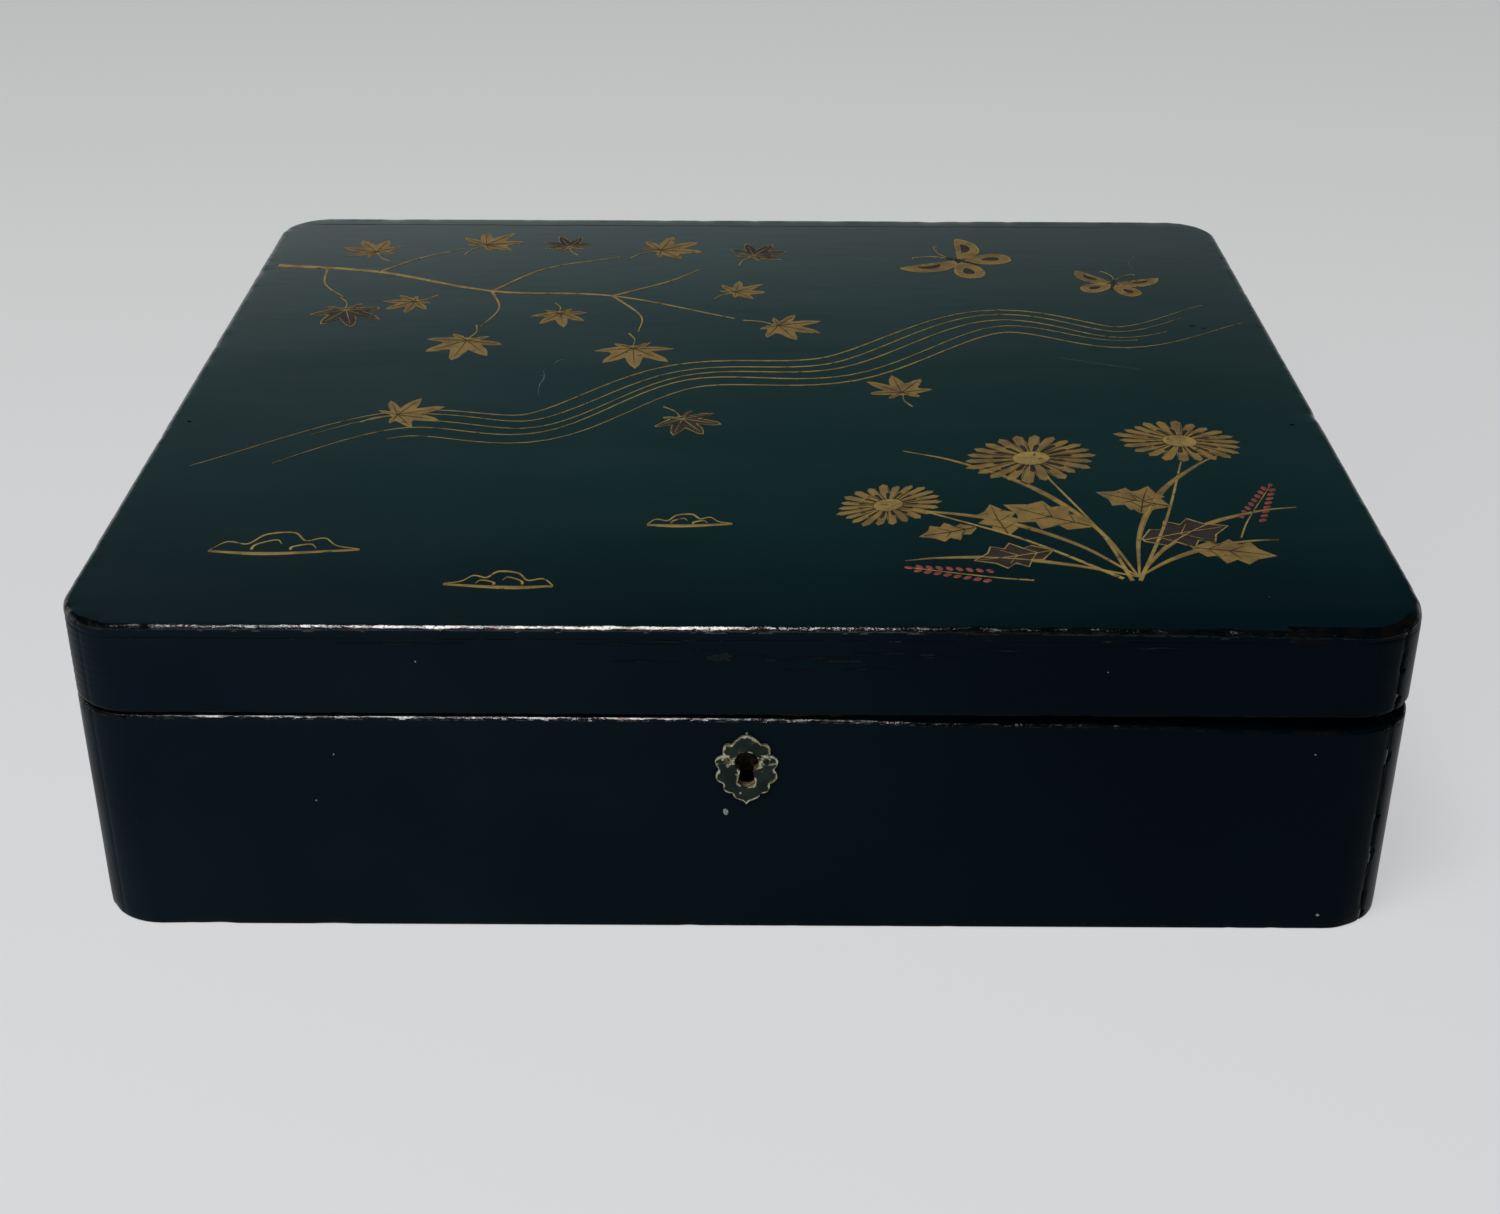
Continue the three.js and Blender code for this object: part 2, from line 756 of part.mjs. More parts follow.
// A side board runs between the rabbets of the front and back boards, a glue line from each.
function sideBoard(form, side, fromZ, toZ) {
  const end = backY - cornerLap - glueLine;
  const board = block([shoulderX + glueLine, -end, fromZ], [halfWidth, end, toZ]);
  const placed = side > 0 ? board : board.mirror([1, 0, 0]);
  return placed.intersect(form);
}

// A glue block in an inner corner, hollowed to the curve that the box has round the outside.
function cornerBlock(signX, signY, fromZ, toZ) {
  const cornerX = shoulderX - glueLine;
  const cornerY = backInnerY - glueLine;
  const post = block(
    [cornerX - cornerBlockReach, cornerY - cornerBlockReach, fromZ],
    [cornerX, cornerY, toZ],
  );
  const hollow = roundedStack([
    { inset: wallThickness, z: fromZ - cutOverrun },
    { inset: wallThickness, z: toZ + cutOverrun },
  ]);
  const flipX = signX > 0 ? post : post.mirror([1, 0, 0]);
  const flipY = signY > 0 ? flipX : flipX.mirror([0, 1, 0]);
  return flipY.subtract(hollow);
}

const corners = [
  ["front_left", -1, -1],
  ["front_right", 1, -1],
  ["back_left", -1, 1],
  ["back_right", 1, 1],
];

function cornerBlocks(owner, fromZ, toZ) {
  return corners.map(([name, signX, signY]) =>
    piece(`${owner}_corner_block_${name}`, cornerBlock(signX, signY, fromZ, toZ), innerLacquer),
  );
}

// Inner lip

// The whole ring of the lip: glued inside the walls below the rim, and clear of the lid above it.
function lipRing() {
  const gluedInset = wallThickness + glueLine;
  const freeInset = wallThickness + lipGap;
  const innerInset = gluedInset + lipThickness;
  const lowZ = rimZ - lipBelowRim;
  const highZ = rimZ + lipAboveRim;
  const outer = roundedStack([
    { inset: gluedInset, z: lowZ },
    { inset: gluedInset, z: rimZ },
    { inset: freeInset, z: lidZ },
    { inset: freeInset, z: highZ - lipRounding },
    { inset: freeInset + lipRounding, z: highZ },
  ]);
  const inner = roundedStack([
    { inset: innerInset, z: lowZ - cutOverrun },
    { inset: innerInset, z: highZ + cutOverrun },
  ]);
  return outer.subtract(inner);
}

// The sector of the box that a side strip of the lip takes, as far as the mitres, grown by margin.
function sideSector(side, margin) {
  const apex = (boxWidth - boxDepth) / 2 - margin;
  const reach = halfWidth + cutOverrun - apex;
  const shape = new THREE.Shape();
  shape.moveTo(apex, 0);
  shape.lineTo(apex + reach, -reach);
  shape.lineTo(apex + reach, reach);
  const sector = plateInXY(shape, 0, lidTopZ);
  return side > 0 ? sector : sector.mirror([1, 0, 0]);
}

// The ring is mitred at the corners, and its front is cut away where the lock plate stands.
function lipPieces() {
  const ring = lipRing();
  const ends = ring.subtract(sideSector(1, lipMitreGap / 2)).subtract(sideSector(-1, lipMitreGap / 2));
  const lockHalf = lockPlateWidth / 2 + lipLockGap;
  const quarterLeft = block([-halfWidth, frontY, 0], [lockOffset - lockHalf, 0, lidTopZ]);
  const quarterRight = block([lockOffset + lockHalf, frontY, 0], [halfWidth, 0, lidTopZ]);
  const backHalf = block([-halfWidth, 0, 0], [halfWidth, backY, lidTopZ]);
  return [
    piece("lip_front_left", ends.intersect(quarterLeft), innerLacquer),
    piece("lip_front_right", ends.intersect(quarterRight), innerLacquer),
    piece("lip_back", ends.intersect(backHalf), innerLacquer),
    piece("lip_left", ring.intersect(sideSector(-1, -lipMitreGap / 2)), innerLacquer),
    piece("lip_right", ring.intersect(sideSector(1, -lipMitreGap / 2)), innerLacquer),
  ];
}

// Base

const hingePlaces = [-hingeSpacing / 2, hingeSpacing / 2];

// The room that the bottom board takes in the feet of the walls, grown by margin.
function bottomRoom(margin, lowZ, highZ) {
  return roundedStack([
    { inset: bottomLap - margin, z: lowZ },
    { inset: bottomLap - margin, z: highZ },
  ]);
}

function baseFrontWall(form) {
  let wall = frontBoard(form, 0, rimZ);
  wall = wall.subtract(lockMortise().translate([lockOffset, frontInnerY, keyZ]));
  const keyhole = keyholeCut(keyholeWoodMargin, frontY - cutOverrun, frontInnerY);
  wall = wall.subtract(keyhole.translate([lockOffset, 0, keyZ]));
  for (const x of escutcheonPinPlaces) {
    wall = wall.subtract(escutcheonPinHole(x).translate([lockOffset, frontY - glueLine, keyZ]));
  }
  return wall;
}

function baseBackWall(form) {
  let wall = backBoard(form, 0, rimZ, rimZ + cutOverrun);
  wall = wall.subtract(backBevel().translate([0, hingeY, hingeZ]));
  for (const x of hingePlaces) {
    wall = wall.subtract(hingeBed().translate([x, hingeY, hingeZ]));
  }
  return wall;
}

function basePieces() {
  const form = baseForm();
  const seat = bottomRoom(0, -cutOverrun, bottomThickness + glueLine);
  const walls = {
    base_front_wall: baseFrontWall(form),
    base_back_wall: baseBackWall(form),
    base_left_wall: sideBoard(form, -1, 0, rimZ),
    base_right_wall: sideBoard(form, 1, 0, rimZ),
  };
  return [
    piece("base_bottom_board", bottomRoom(-glueLine, 0, bottomThickness), lacquer),
    ...Object.entries(walls).map(([name, wall]) => piece(name, wall.subtract(seat), lacquer)),
    ...cornerBlocks("base", bottomThickness + glueLine, rimZ),
    ...lipPieces(),
  ];
}

// Lid

// The top board lies on the front and side walls and butts against the back wall.
function lidTopBoard(form) {
  const low = [-halfWidth - cutOverrun, frontY - cutOverrun, topBoardZ];
  const high = [halfWidth + cutOverrun, backInnerY - glueLine, lidTopZ + cutOverrun];
  return form.intersect(block(low, high));
}

function lidFrontWall(form, topZ) {
  const wall = frontBoard(form, lidZ, topZ);
  return wall.subtract(strikeBed().translate([lockOffset, frontInnerY, lidZ]));
}

// The back wall rises to the top of the lid, and its rabbets stop under the top board.
function lidBackWall(form) {
  let wall = backBoard(form, lidZ, lidTopZ, topBoardZ);
  wall = wall.subtract(upperHalf(backBevel()).translate([0, hingeY, hingeZ]));
  for (const x of hingePlaces) {
    wall = wall.subtract(upperHalf(hingeBed()).translate([x, hingeY, hingeZ]));
  }
  return wall;
}

function lidPieces() {
  const form = lidForm();
  const wallTopZ = topBoardZ - glueLine;
  return [
    piece("lid_top_board", lidTopBoard(form), lacquer),
    piece("lid_front_wall", lidFrontWall(form, wallTopZ), lacquer),
    piece("lid_back_wall", lidBackWall(form), lacquer),
    piece("lid_left_wall", sideBoard(form, -1, lidZ, wallTopZ), lacquer),
    piece("lid_right_wall", sideBoard(form, 1, lidZ, wallTopZ), lacquer),
    ...cornerBlocks("lid", lidZ, wallTopZ),
  ];
}

// Ironmongery

// One hinge: two leaves, the pin that joins them, and three screws in each leaf.
function hingeGroup(side) {
  const group = new THREE.Group();
  const innerEnd = middleHalf + knuckleGap;
  const outerSpans = [
    [-knuckleEnd, -innerEnd],
    [innerEnd, knuckleEnd],
  ];
  const middleSpan = [[-middleHalf, middleHalf]];
  group.add(piece(`hinge_lower_leaf_${side}`, leafSolid(outerSpans), brass));
  group.add(piece(`hinge_upper_leaf_${side}`, upperHalf(leafSolid(middleSpan)), brass));
  group.add(piece(`hinge_pin_${side}`, hingePinSolid(), brass));
  hingeScrewPlaces.forEach((x, i) => {
    const lower = piece(`hinge_lower_screw_${side}_${i + 1}`, screwSolid(screwLength), brass);
    lower.position.set(x, leafScrewY, leafHighZ - screwSink);
    const upper = piece(`hinge_upper_screw_${side}_${i + 1}`, screwSolid(screwLength), brass);
    upper.position.set(x, leafScrewY, screwSink - leafHighZ);
    upper.rotation.x = Math.PI;
    group.add(lower, upper);
  });
  return group;
}

function lockGroup() {
  const group = new THREE.Group();
  group.add(piece("lock_plate", lockPlateSolid(), brass));
  group.add(piece("lock_cap", lockCapSolid(), brass));
  group.add(piece("lock_bolt", boltSolid(), steel));
  group.add(piece("lock_bolt_spring", boltSpringSolid(), steel));
  guidePinPlaces().forEach((x, i) => {
    const pin = piece(`lock_guide_pin_${i + 1}`, guidePinSolid(0, caseFrontY + glueLine, 0), steel);
    pin.position.x = x;
    group.add(pin);
  });
  lockScrewPlaces.forEach(([x, z], i) => {
    const screw = piece(`lock_screw_${i + 1}`, screwSolid(lockScrewLength), brass);
    screw.position.set(x, -screwSink, z);
    screw.rotation.x = -Math.PI / 2;
    group.add(screw);
  });
  return group;
}

function strikeGroup() {
  const group = new THREE.Group();
  group.add(piece("strike_plate", strikePlateSolid(), brass));
  strikeScrewPlaces.forEach((x, i) => {
    const screw = piece(`strike_screw_${i + 1}`, screwSolid(screwLength), brass);
    screw.position.set(x, caseMiddleY, screwSink);
    screw.rotation.x = Math.PI;
    group.add(screw);
  });
  return group;
}

function escutcheonGroup() {
  const group = new THREE.Group();
  group.add(piece("escutcheon", escutcheonSolid(), darkBrass));
  escutcheonPinPlaces.forEach((x, i) => {
    const pin = piece(`escutcheon_pin_${i + 1}`, escutcheonPinSolid(), darkBrass);
    pin.position.set(x, 0, escutcheonPinRise);
    group.add(pin);
  });
  return group;
}

// The whole box

const box = new THREE.Group();
box.add(...basePieces(), ...lidPieces());
hingePlaces.forEach((x, i) => {
  const hinge = hingeGroup(i === 0 ? "left" : "right");
  hinge.position.set(x, hingeY, hingeZ);
  box.add(hinge);
});
const lock = lockGroup();
lock.position.set(lockOffset, frontInnerY, keyZ);
const strike = strikeGroup();
strike.position.set(lockOffset, frontInnerY, lidZ);
const keyholePlate = escutcheonGroup();
keyholePlate.position.set(lockOffset, frontY - glueLine, keyZ);
box.add(lock, strike, keyholePlate);

export default box;
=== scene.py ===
"""Looks of the lacquer document box: worn lacquered boards, aged brass, and a gold design on the lid."""

import math

import bmesh
import bpy
import numpy as np
from mathutils import Matrix, Vector, noise


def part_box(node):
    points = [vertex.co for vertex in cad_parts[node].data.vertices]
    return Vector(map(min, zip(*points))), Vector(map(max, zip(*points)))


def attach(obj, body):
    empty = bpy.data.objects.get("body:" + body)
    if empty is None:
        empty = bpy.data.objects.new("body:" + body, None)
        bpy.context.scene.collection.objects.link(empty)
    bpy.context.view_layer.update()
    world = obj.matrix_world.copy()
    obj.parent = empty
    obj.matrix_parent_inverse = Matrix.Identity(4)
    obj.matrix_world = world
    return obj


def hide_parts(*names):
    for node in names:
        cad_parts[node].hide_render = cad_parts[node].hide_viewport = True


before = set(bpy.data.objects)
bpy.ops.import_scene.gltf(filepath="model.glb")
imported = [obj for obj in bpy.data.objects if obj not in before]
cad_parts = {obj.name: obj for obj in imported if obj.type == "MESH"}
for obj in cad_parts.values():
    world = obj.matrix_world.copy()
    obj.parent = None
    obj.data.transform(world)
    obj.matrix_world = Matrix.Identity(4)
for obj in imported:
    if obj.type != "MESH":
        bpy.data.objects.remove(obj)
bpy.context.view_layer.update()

# Lengths below are in millimetres, and one of them is this many metres
MM = 0.001

# Case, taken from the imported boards
HALF_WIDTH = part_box("lid_top_board")[1].x / MM
HALF_DEPTH = -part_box("lid_top_board")[0].y / MM
RIM_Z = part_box("base_front_wall")[1].z / MM
LID_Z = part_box("lid_front_wall")[0].z / MM
TOP_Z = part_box("lid_top_board")[1].z / MM
TOP_JOINT_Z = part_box("lid_top_board")[0].z / MM
KEYHOLE_PLATE = [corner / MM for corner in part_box("escutcheon")]
CORNER_RADIUS = 16.6
WALL_THICKNESS = 7.5
CORNER_LAP = 3.7
RIM_BEVEL = 0.5
STRAIGHT_X = HALF_WIDTH - CORNER_RADIUS
STRAIGHT_Y = HALF_DEPTH - CORNER_RADIUS

# Worn surface of the boards
SKIN = 0.04
WAVE = 0.07
TOP_SINK = 0.2
ARRIS_RADIUS = 1.5
ARRIS_STEPS = 6
FOOT_RADIUS = 0.6
FOOT_STEPS = 4
ARRIS_WEAR = 0.32
ARRIS_CHIP = 0.7
EDGE_WEAR = 0.22
WEAR_REACH = 1.2
JOINT_GROOVE = 0.2
CORNER_GROOVE = 0.5
FRONT_STEP = 0.8
SIDE_STEP = 2.4
ARC_STEP = 1.0
WALL_STEP = 2.6
SEAM_SHIFTS = (-0.5, -0.2, 0.2, 0.5)
RIDGE_STEP = 0.7
RIDGE_PITCH = 2.1
RIDGE_DEPTH = 0.05
RIM_DEPTH = 9.0
WELD = 0.002 * MM
SAME_PLACE = 0.0001 * MM
SHARP_DEGREES = 32

# Curves are lists of places and values. This one says where the front's edges are chipped more than the others
CHIP_SHARE = [(-135, 1), (-112, 0), (0, 0), (40, 1)]

# How far the pale ground is bare along the front arris and along the rim below, from left to right. The band
# is partly real wear and partly a painted highlight, strongest along the left half of the front
PALE_ARRIS = [
    (-165, 0.0), (-135, 0.05), (-118, 0.2), (-108, 0.65), (-75, 0.9),
    (-20, 1.0), (5, 0.6), (20, 0.25), (60, 0.05), (165, 0.0),
]
PALE_RIM = [(-165, 0.1), (-150, 0.5), (-60, 0.7), (-30, 0.6), (-5, 0.5), (8, 0.2), (30, 0.05), (165, 0.0)]
# How the band fades down the rim's face, the turn of the arris in degrees where the band and its painted
# highlight peak, and its level on the other sides
PALE_RIM_FACE = [(-0.6, 0), (-0.3, 1)]
PALE_TURN = 55.0
PALE_ELSEWHERE = 0.15

# How far the front rim of the base has sunk, from left to right, and how it fades down the right side
RIM_DROP = [
    (-165, 0.0), (-60, 0.12), (0, 0.25), (28, 0.6), (48, 1.4),
    (82, 1.5), (104, 1.9), (122, 3.0), (146, 3.2), (165, 3.4),
]
RIM_DROP_FADE = 150.0
RIM_DROP_REACH = 14.0

# How far the top's front arris has been rubbed down, from left to right, and how it fades back and inward
ARRIS_SAG = [(50, 0.0), (90, 0.3), (125, 1.0), (150, 1.6), (165, 1.7)]
ARRIS_SAG_FADE = 24.0
ARRIS_SAG_REACH = 4.0

# Stretch of the front arris and rim that takes the glossier edge finish with the pale band and its painted
# highlight, and not only the black one
BRIGHT_EDGE_START = -140.0
BRIGHT_EDGE_END = 42.0

# Crack behind the top board, chips beside the corner's crack (height and length), and pits, scratches
# and scratched spots in the top
CRACK_START = -157.0
CRACK_END = 134.0
CRACK_WIDTH = 0.55
CRACK_DEPTH = 0.8
CRACK_STEP = 2.0
CORNER_CRACK_FOOT = 0.5
CORNER_CRACK_STEP = 1.6
CORNER_CHIPS = [(85.6, 2.6), (74.2, 1.6), (66.4, 3.4), (50.0, 4.6), (32.0, 2.0), (21.0, 5.4), (2.4, 3.0)]
TOP_PITS = [
    (141.3, 47.1, 2.2, 1.0), (144.6, 45.2, 1.8, 0.8), (156.2, -30.3, 1.8, 1.2), (-158.7, -31.2, 1.5, 1.0),
]
SCRATCHES = [
    ([(-61, 8), (-60.4, 2), (-61.3, -4), (-61, -11)], 0.3),
    ([(-58.6, 13), (-57, 16), (-54.8, 17.5)], 0.25),
    ([(-90, 145), (-87, 140), (-82, 134)], 0.25),
    ([(96, 20), (108, 15), (119, 11)], 0.1),
    ([(133, 113), (130, 106), (131, 99)], 0.14),
    ([(20, 88), (24, 84), (29, 83)], 0.14),
    ([(-146, -60), (-138, -63), (-131, -64)], 0.1),
]
SCRATCH_SPOTS = [
    (-61.2, 4, 0.8), (-60.6, -8, 0.7), (-54.6, 17.4, 0.8), (31, 92, 0.7), (128, -134, 0.7), (-72, -128, 0.6),
]

# How deep flat marks are bedded in the top and in the front, and the step that keeps their faces apart
TOP_BED = -0.1
FRONT_BED = -0.4
SHAPE_STEP = 0.002

# Cracks in the lacquer of the lid's front: left end, height and length
FRONT_CRACKS = [
    (-31, 78.6, 16), (-12, 81.4, 6), (-2, 80.0, 9), (5, 78.9, 8), (12, 79.6, 14), (26, 81.0, 22),
    (40, 79.8, 13), (10, 76.2, 7), (24, 76.6, 12), (55, 82.0, 20), (-40, 83.2, 24), (84, 82.8, 30),
    (-96, 83.0, 30),
]

# Flakes of the lacquer of the lid's front: middle, height, length and breadth
FRONT_FLAKES = [
    (-5.2, 79.5, 6.2, 2.2), (-10.5, 81.5, 0.4, 1.3), (6.8, 78.8, 3.4, 0.6),
    (24.5, 78.6, 8.5, 0.7), (44.0, 80.4, 4.0, 0.5), (-17.0, 83.7, 5.0, 0.35),
]

# Tiny pale specks on the front: across, up and size. The outlines of the larger chip in the base and of the
# one over the keyhole plate follow, the latter from the plate's top
FRONT_SPECKS = [
    (-78.0, 78.0, 0.5), (87.4, 75.9, 0.32), (139.9, 52.9, 0.4),
    (-99.8, 51.7, 0.4), (-105.3, 38.2, 0.45), (146.6, 4.6, 0.9),
]
BASE_CHIP = [(-4.7, 35.9), (-4.5, 34.9), (-3.9, 34.4), (-3.4, 35.0), (-3.5, 35.8), (-4.1, 36.4)]
PLATE_CHIP = [(0.9, 0.1), (1.3, 0.05), (1.4, 0.5), (1.0, 0.55)]

# Keyhole plate: width and depth of its rubbed rim, how far from its sides the keyhole keeps, and where up it
# is rubbed bright, as a share of its height
PLATE_RUB_WIDTH = 0.72
PLATE_RUB_DEPTH = 0.22
PLATE_HOLE_MARGIN = 3.5
WALL_HOLE_MARGIN = 2
RUBBED_SHARE = 0.64
PLATE_SHARP_DEGREES = 40

# Camera fitted to the photograph: place in millimetres, angles in degrees
CAMERA_PLACE = (2.87, -593.48, 334.54)
CAMERA_PITCH = 28.602
CAMERA_YAW = 0.136
CAMERA_ROLL = 0.194
CAMERA_LENS = 51.472
SENSOR_WIDTH = 36.0

# Floor: how far it reaches, and how much of it glows where the camera or gloss sees it
FLOOR_REACH = 6000.0
FLOOR_GLOW = 0.72

# Numbers of a board's finishes, in the order of its materials
WALL, INSIDE, TOP, BRIGHT_EDGE, BARE_FACE, BLACK_EDGE = range(6)


def add_object(name, data):
    """A new object in the scene."""
    piece = bpy.data.objects.new(name, data)
    bpy.context.scene.collection.objects.link(piece)
    return piece


def add_mesh(name, points, faces):
    """A new object in the scene with a mesh from points in millimetres."""
    mesh = bpy.data.meshes.new(name)
    mesh.from_pydata([[value * MM for value in point] for point in points], [], faces)
    return add_object(name, mesh)


# Materials


class Nodes:
    """A node tree of the world or of a material."""

    def __init__(self, owner):
        owner.use_nodes = True
        self.owner = owner
        self.tree = owner.node_tree

    def join(self, socket, value):
        """Gives an input its number, its colour or the output that feeds it."""
        if isinstance(value, bpy.types.NodeSocket):
            self.tree.links.new(value, socket)
        else:
            socket.default_value = (*value, 1.0) if socket.type == "RGBA" else value

    def add(self, kind, inputs=None, operation=None):
        """A new node of a kind, with what its inputs get by name or number."""
        node = self.tree.nodes.new(f"ShaderNode{kind}")
        if operation:
            node.operation = operation
        for key, value in (inputs or {}).items():
            self.join(node.inputs[key], value)
        return node

    def maths(self, operation, first, second):
        """Two values joined by a plain sum, product or the like."""
        return self.add("Math", {0: first, 1: second}, operation).outputs[0]

    def axes(self, kind):
        """The X, Y and Z of a kind of place or direction."""
        return self.add("SeparateXYZ", {0: self.add("TexCoord").outputs[kind]}).outputs

    def ramp(self, value, stops):
        """Colours passing into each other as a value goes from 0 to 1. Each stop is a place and a colour."""
        node = self.add("ValToRGB", {"Fac": value})
        elements = node.color_ramp.elements
        while len(elements) < len(stops):
            elements.new(1.0)
        for element, (place, colour) in zip(elements, stops):
            element.position = place
            element.color = (*colour, 1.0)
        return node.outputs["Color"]


class Finish(Nodes):
    """A new material. Each method adds nodes and gives back the output that carries their result."""

    def __init__(self, name):
        super().__init__(bpy.data.materials.new(name))
        self.place = self.add("TexCoord").outputs["Object"]

    def noise(self, scale, detail=3.0, stretch=(1.0, 1.0, 1.0)):
        """Soft noise with features of about one over scale metres, drawn out along the axes by stretch."""
        place = self.add("Mapping", {"Vector": self.place, "Scale": stretch}).outputs[0]
        return self.add("TexNoise", {"Vector": place, "Scale": scale, "Detail": detail}).outputs["Fac"]

    def span(self, value, low, high, to_low=0.0, to_high=1.0):
        """A value's stretch from low to high, spread smoothly over a new stretch."""
        inputs = {"Value": value, "From Min": low, "From Max": high, "To Min": to_low, "To Max": to_high}
        node = self.add("MapRange", inputs)
        node.interpolation_type = "SMOOTHSTEP"
        return node.outputs["Result"]

    def times(self, first, second):
        """The product of two values, the second of which may be a plain number."""
        return self.maths("MULTIPLY", first, second)

    def mix(self, share, first, second):
        """One colour passing into another as share goes from 0 to 1."""
        node = self.add("Mix")
        node.data_type = "RGBA"
        colours = [socket for socket in node.inputs if socket.type == "RGBA"]
        for socket, value in zip((node.inputs["Factor"], *colours), (share, first, second)):
            self.join(socket, value)
        return next(socket for socket in node.outputs if socket.type == "RGBA")

    def attribute(self, name):
        """A number stored on the mesh."""
        node = self.add("Attribute")
        node.attribute_name = name
        return node.outputs["Fac"]

    def axis(self, name):
        """The X, Y or Z of a point of the object, in metres."""
        return self.add("SeparateXYZ", {0: self.place}).outputs[name]

    def bump(self, height, depth, strength, below=None):
        """A bump of that depth in metres from a height between 0 and 1, over another bump if one is given."""
        node = self.add("Bump", {"Strength": strength, "Distance": depth, "Height": height})
        if below is not None:
            self.join(node.inputs["Normal"], below)
        return node.outputs["Normal"]

    def feed(self, **inputs):
        """Sets the shader's inputs, and gives back the material."""
        shader = self.tree.nodes["Principled BSDF"]
        for name, value in inputs.items():
            self.join(shader.inputs[name.replace("_", " ")], value)
        return self.owner


WORN_BROWN = (0.006, 0.0045, 0.0035)
OLIVE_GROUND = (0.010, 0.0125, 0.009)
BARE_WOOD = (0.17, 0.13, 0.10)
PALE_GROUND_AND_HIGHLIGHT = (0.78, 0.76, 0.74)
LACQUER_IOR = 1.5


def lacquer_finish(f, dark, tint, specular, rough_low, rough_high):
    """Old black lacquer: clouded colour, faint brush marks, and the ground showing near worn edges."""
    clouds = f.span(f.noise(17.0, 5.0), 0.30, 0.72)
    specks = f.span(f.noise(1100.0, 2.0), 0.70, 0.80)
    base = f.mix(clouds, dark, tint)
    base = f.mix(f.times(specks, 0.3), base, (0.03, 0.035, 0.033))
    patches = f.times(f.attribute("edge_wear"), f.span(f.noise(260.0, 6.0, (0.30, 0.30, 1.0)), 0.42, 0.62))
    brown = f.span(patches, 0.30, 0.62)
    ground = f.mix(f.span(f.noise(130.0, 3.0), 0.45, 0.6), WORN_BROWN, OLIVE_GROUND)
    flakes_and_crack_highlights = f.times(f.span(patches, 0.25, 0.6), f.span(f.noise(1300.0, 4.0, (0.35, 0.35, 1.0)), 0.60, 0.68))
    base = f.mix(brown, base, ground)
    base = f.mix(f.times(flakes_and_crack_highlights, 0.25), base, BARE_WOOD)
    rough = f.span(f.noise(45.0, 6.0, (0.3, 1.0, 1.0)), 0.3, 0.75, rough_low, rough_high)
    rough = f.maths("ADD", rough, f.times(brown, 0.2))
    brushed = f.bump(f.noise(240.0, 4.0, (0.25, 1.0, 1.0)), 0.00012, 0.12)
    normal = f.bump(patches, 0.0004, 0.35, brushed)
    f.feed(Base_Color=base, Roughness=rough, Normal=normal)
    return f.feed(IOR=LACQUER_IOR, Specular_IOR_Level=specular)


def top_lacquer():
    """The lid's top, rubbed glossy and greener than the sides, with painted light: lighter and greener towards
    the back, darker at the front. It is also greyer on the left.
    """
    f = Finish("top_lacquer")
    # Painted light: the colour is mixed lighter and greener towards the back of the top, and darker at the
    # front.
    back = f.span(f.axis("Y"), -1.05 * HALF_DEPTH * MM, -0.35 * HALF_DEPTH * MM)
    left = f.span(f.axis("X"), -HALF_WIDTH * MM, 0.0, 0.36, 0.0)
    greyer_left_tone = (0.0125, 0.0190, 0.0235)
    dark = f.mix(left, f.mix(back, (0.0008, 0.0074, 0.0098), (0.0024, 0.0208, 0.0224)), greyer_left_tone)
    tint = f.mix(left, f.mix(back, (0.0014, 0.0096, 0.0126), (0.0036, 0.0250, 0.0270)), greyer_left_tone)
    return lacquer_finish(f, dark, tint, 0.5, 0.10, 0.14)


def side_lacquer():
    """The walls, duller than the top, with painted light and shade: lighter on the left and darker towards the
    right.
    """
    f = Finish("side_lacquer")
    # Painted light and shade: the walls' colour is mixed lighter on the left and darker towards the right.
    right = f.span(f.axis("X"), -0.6 * HALF_WIDTH * MM, 0.8 * HALF_WIDTH * MM)
    dark = f.mix(right, (0.0023, 0.0070, 0.0110), (0.0003, 0.0027, 0.0052))
    tint = f.mix(right, (0.0033, 0.0093, 0.0145), (0.0006, 0.0041, 0.0074))
    return lacquer_finish(f, dark, tint, 0.025, 0.28, 0.36)


def edge_finish(name, black, brown, specular):
    """The rubbed arrises: burnished black and brown, with the pale ground laid bare in broken lengths, which
    also serve as a painted highlight.
    """
    f = Finish(name)
    pale = f.attribute("edge_pale_and_highlight")
    chips = f.noise(520.0, 6.0, (0.3, 0.3, 1.0))
    grains = f.noise(2400.0, 4.0, (0.5, 0.5, 1.0))
    browns = f.span(f.noise(160.0, 4.0), 0.46, 0.60)
    base = f.mix(browns, black, brown)
    base = f.mix(f.times(f.span(pale, 0.2, 0.6), browns), base, (0.075, 0.036, 0.026))
    base = f.mix(f.times(f.span(f.noise(1500.0, 3.0), 0.72, 0.78), 0.7), base, BARE_WOOD)
    # Pale ground where the band is: worn bare, and also a painted highlight
    bared_and_highlit = f.span(f.maths("ADD", f.times(pale, 0.42), chips), 0.70, 0.80)
    whitish = f.mix(f.span(f.noise(210.0, 4.0), 0.55, 0.66), PALE_GROUND_AND_HIGHLIGHT, (0.34, 0.23, 0.19))
    bared_and_highlit = f.times(bared_and_highlit, f.maths("MAXIMUM", f.span(grains, 0.34, 0.50), f.span(pale, 0.75, 0.95)))
    base = f.mix(bared_and_highlit, base, whitish)
    rough = f.maths("ADD", f.span(grains, 0.3, 0.7, 0.09, 0.17), f.times(bared_and_highlit, 0.12))
    normal = f.bump(grains, 0.0002, 0.6, f.bump(chips, 0.0009, 0.5))
    f.feed(Base_Color=base, Roughness=rough, Normal=normal)
    return f.feed(IOR=LACQUER_IOR, Specular_IOR_Level=specular)


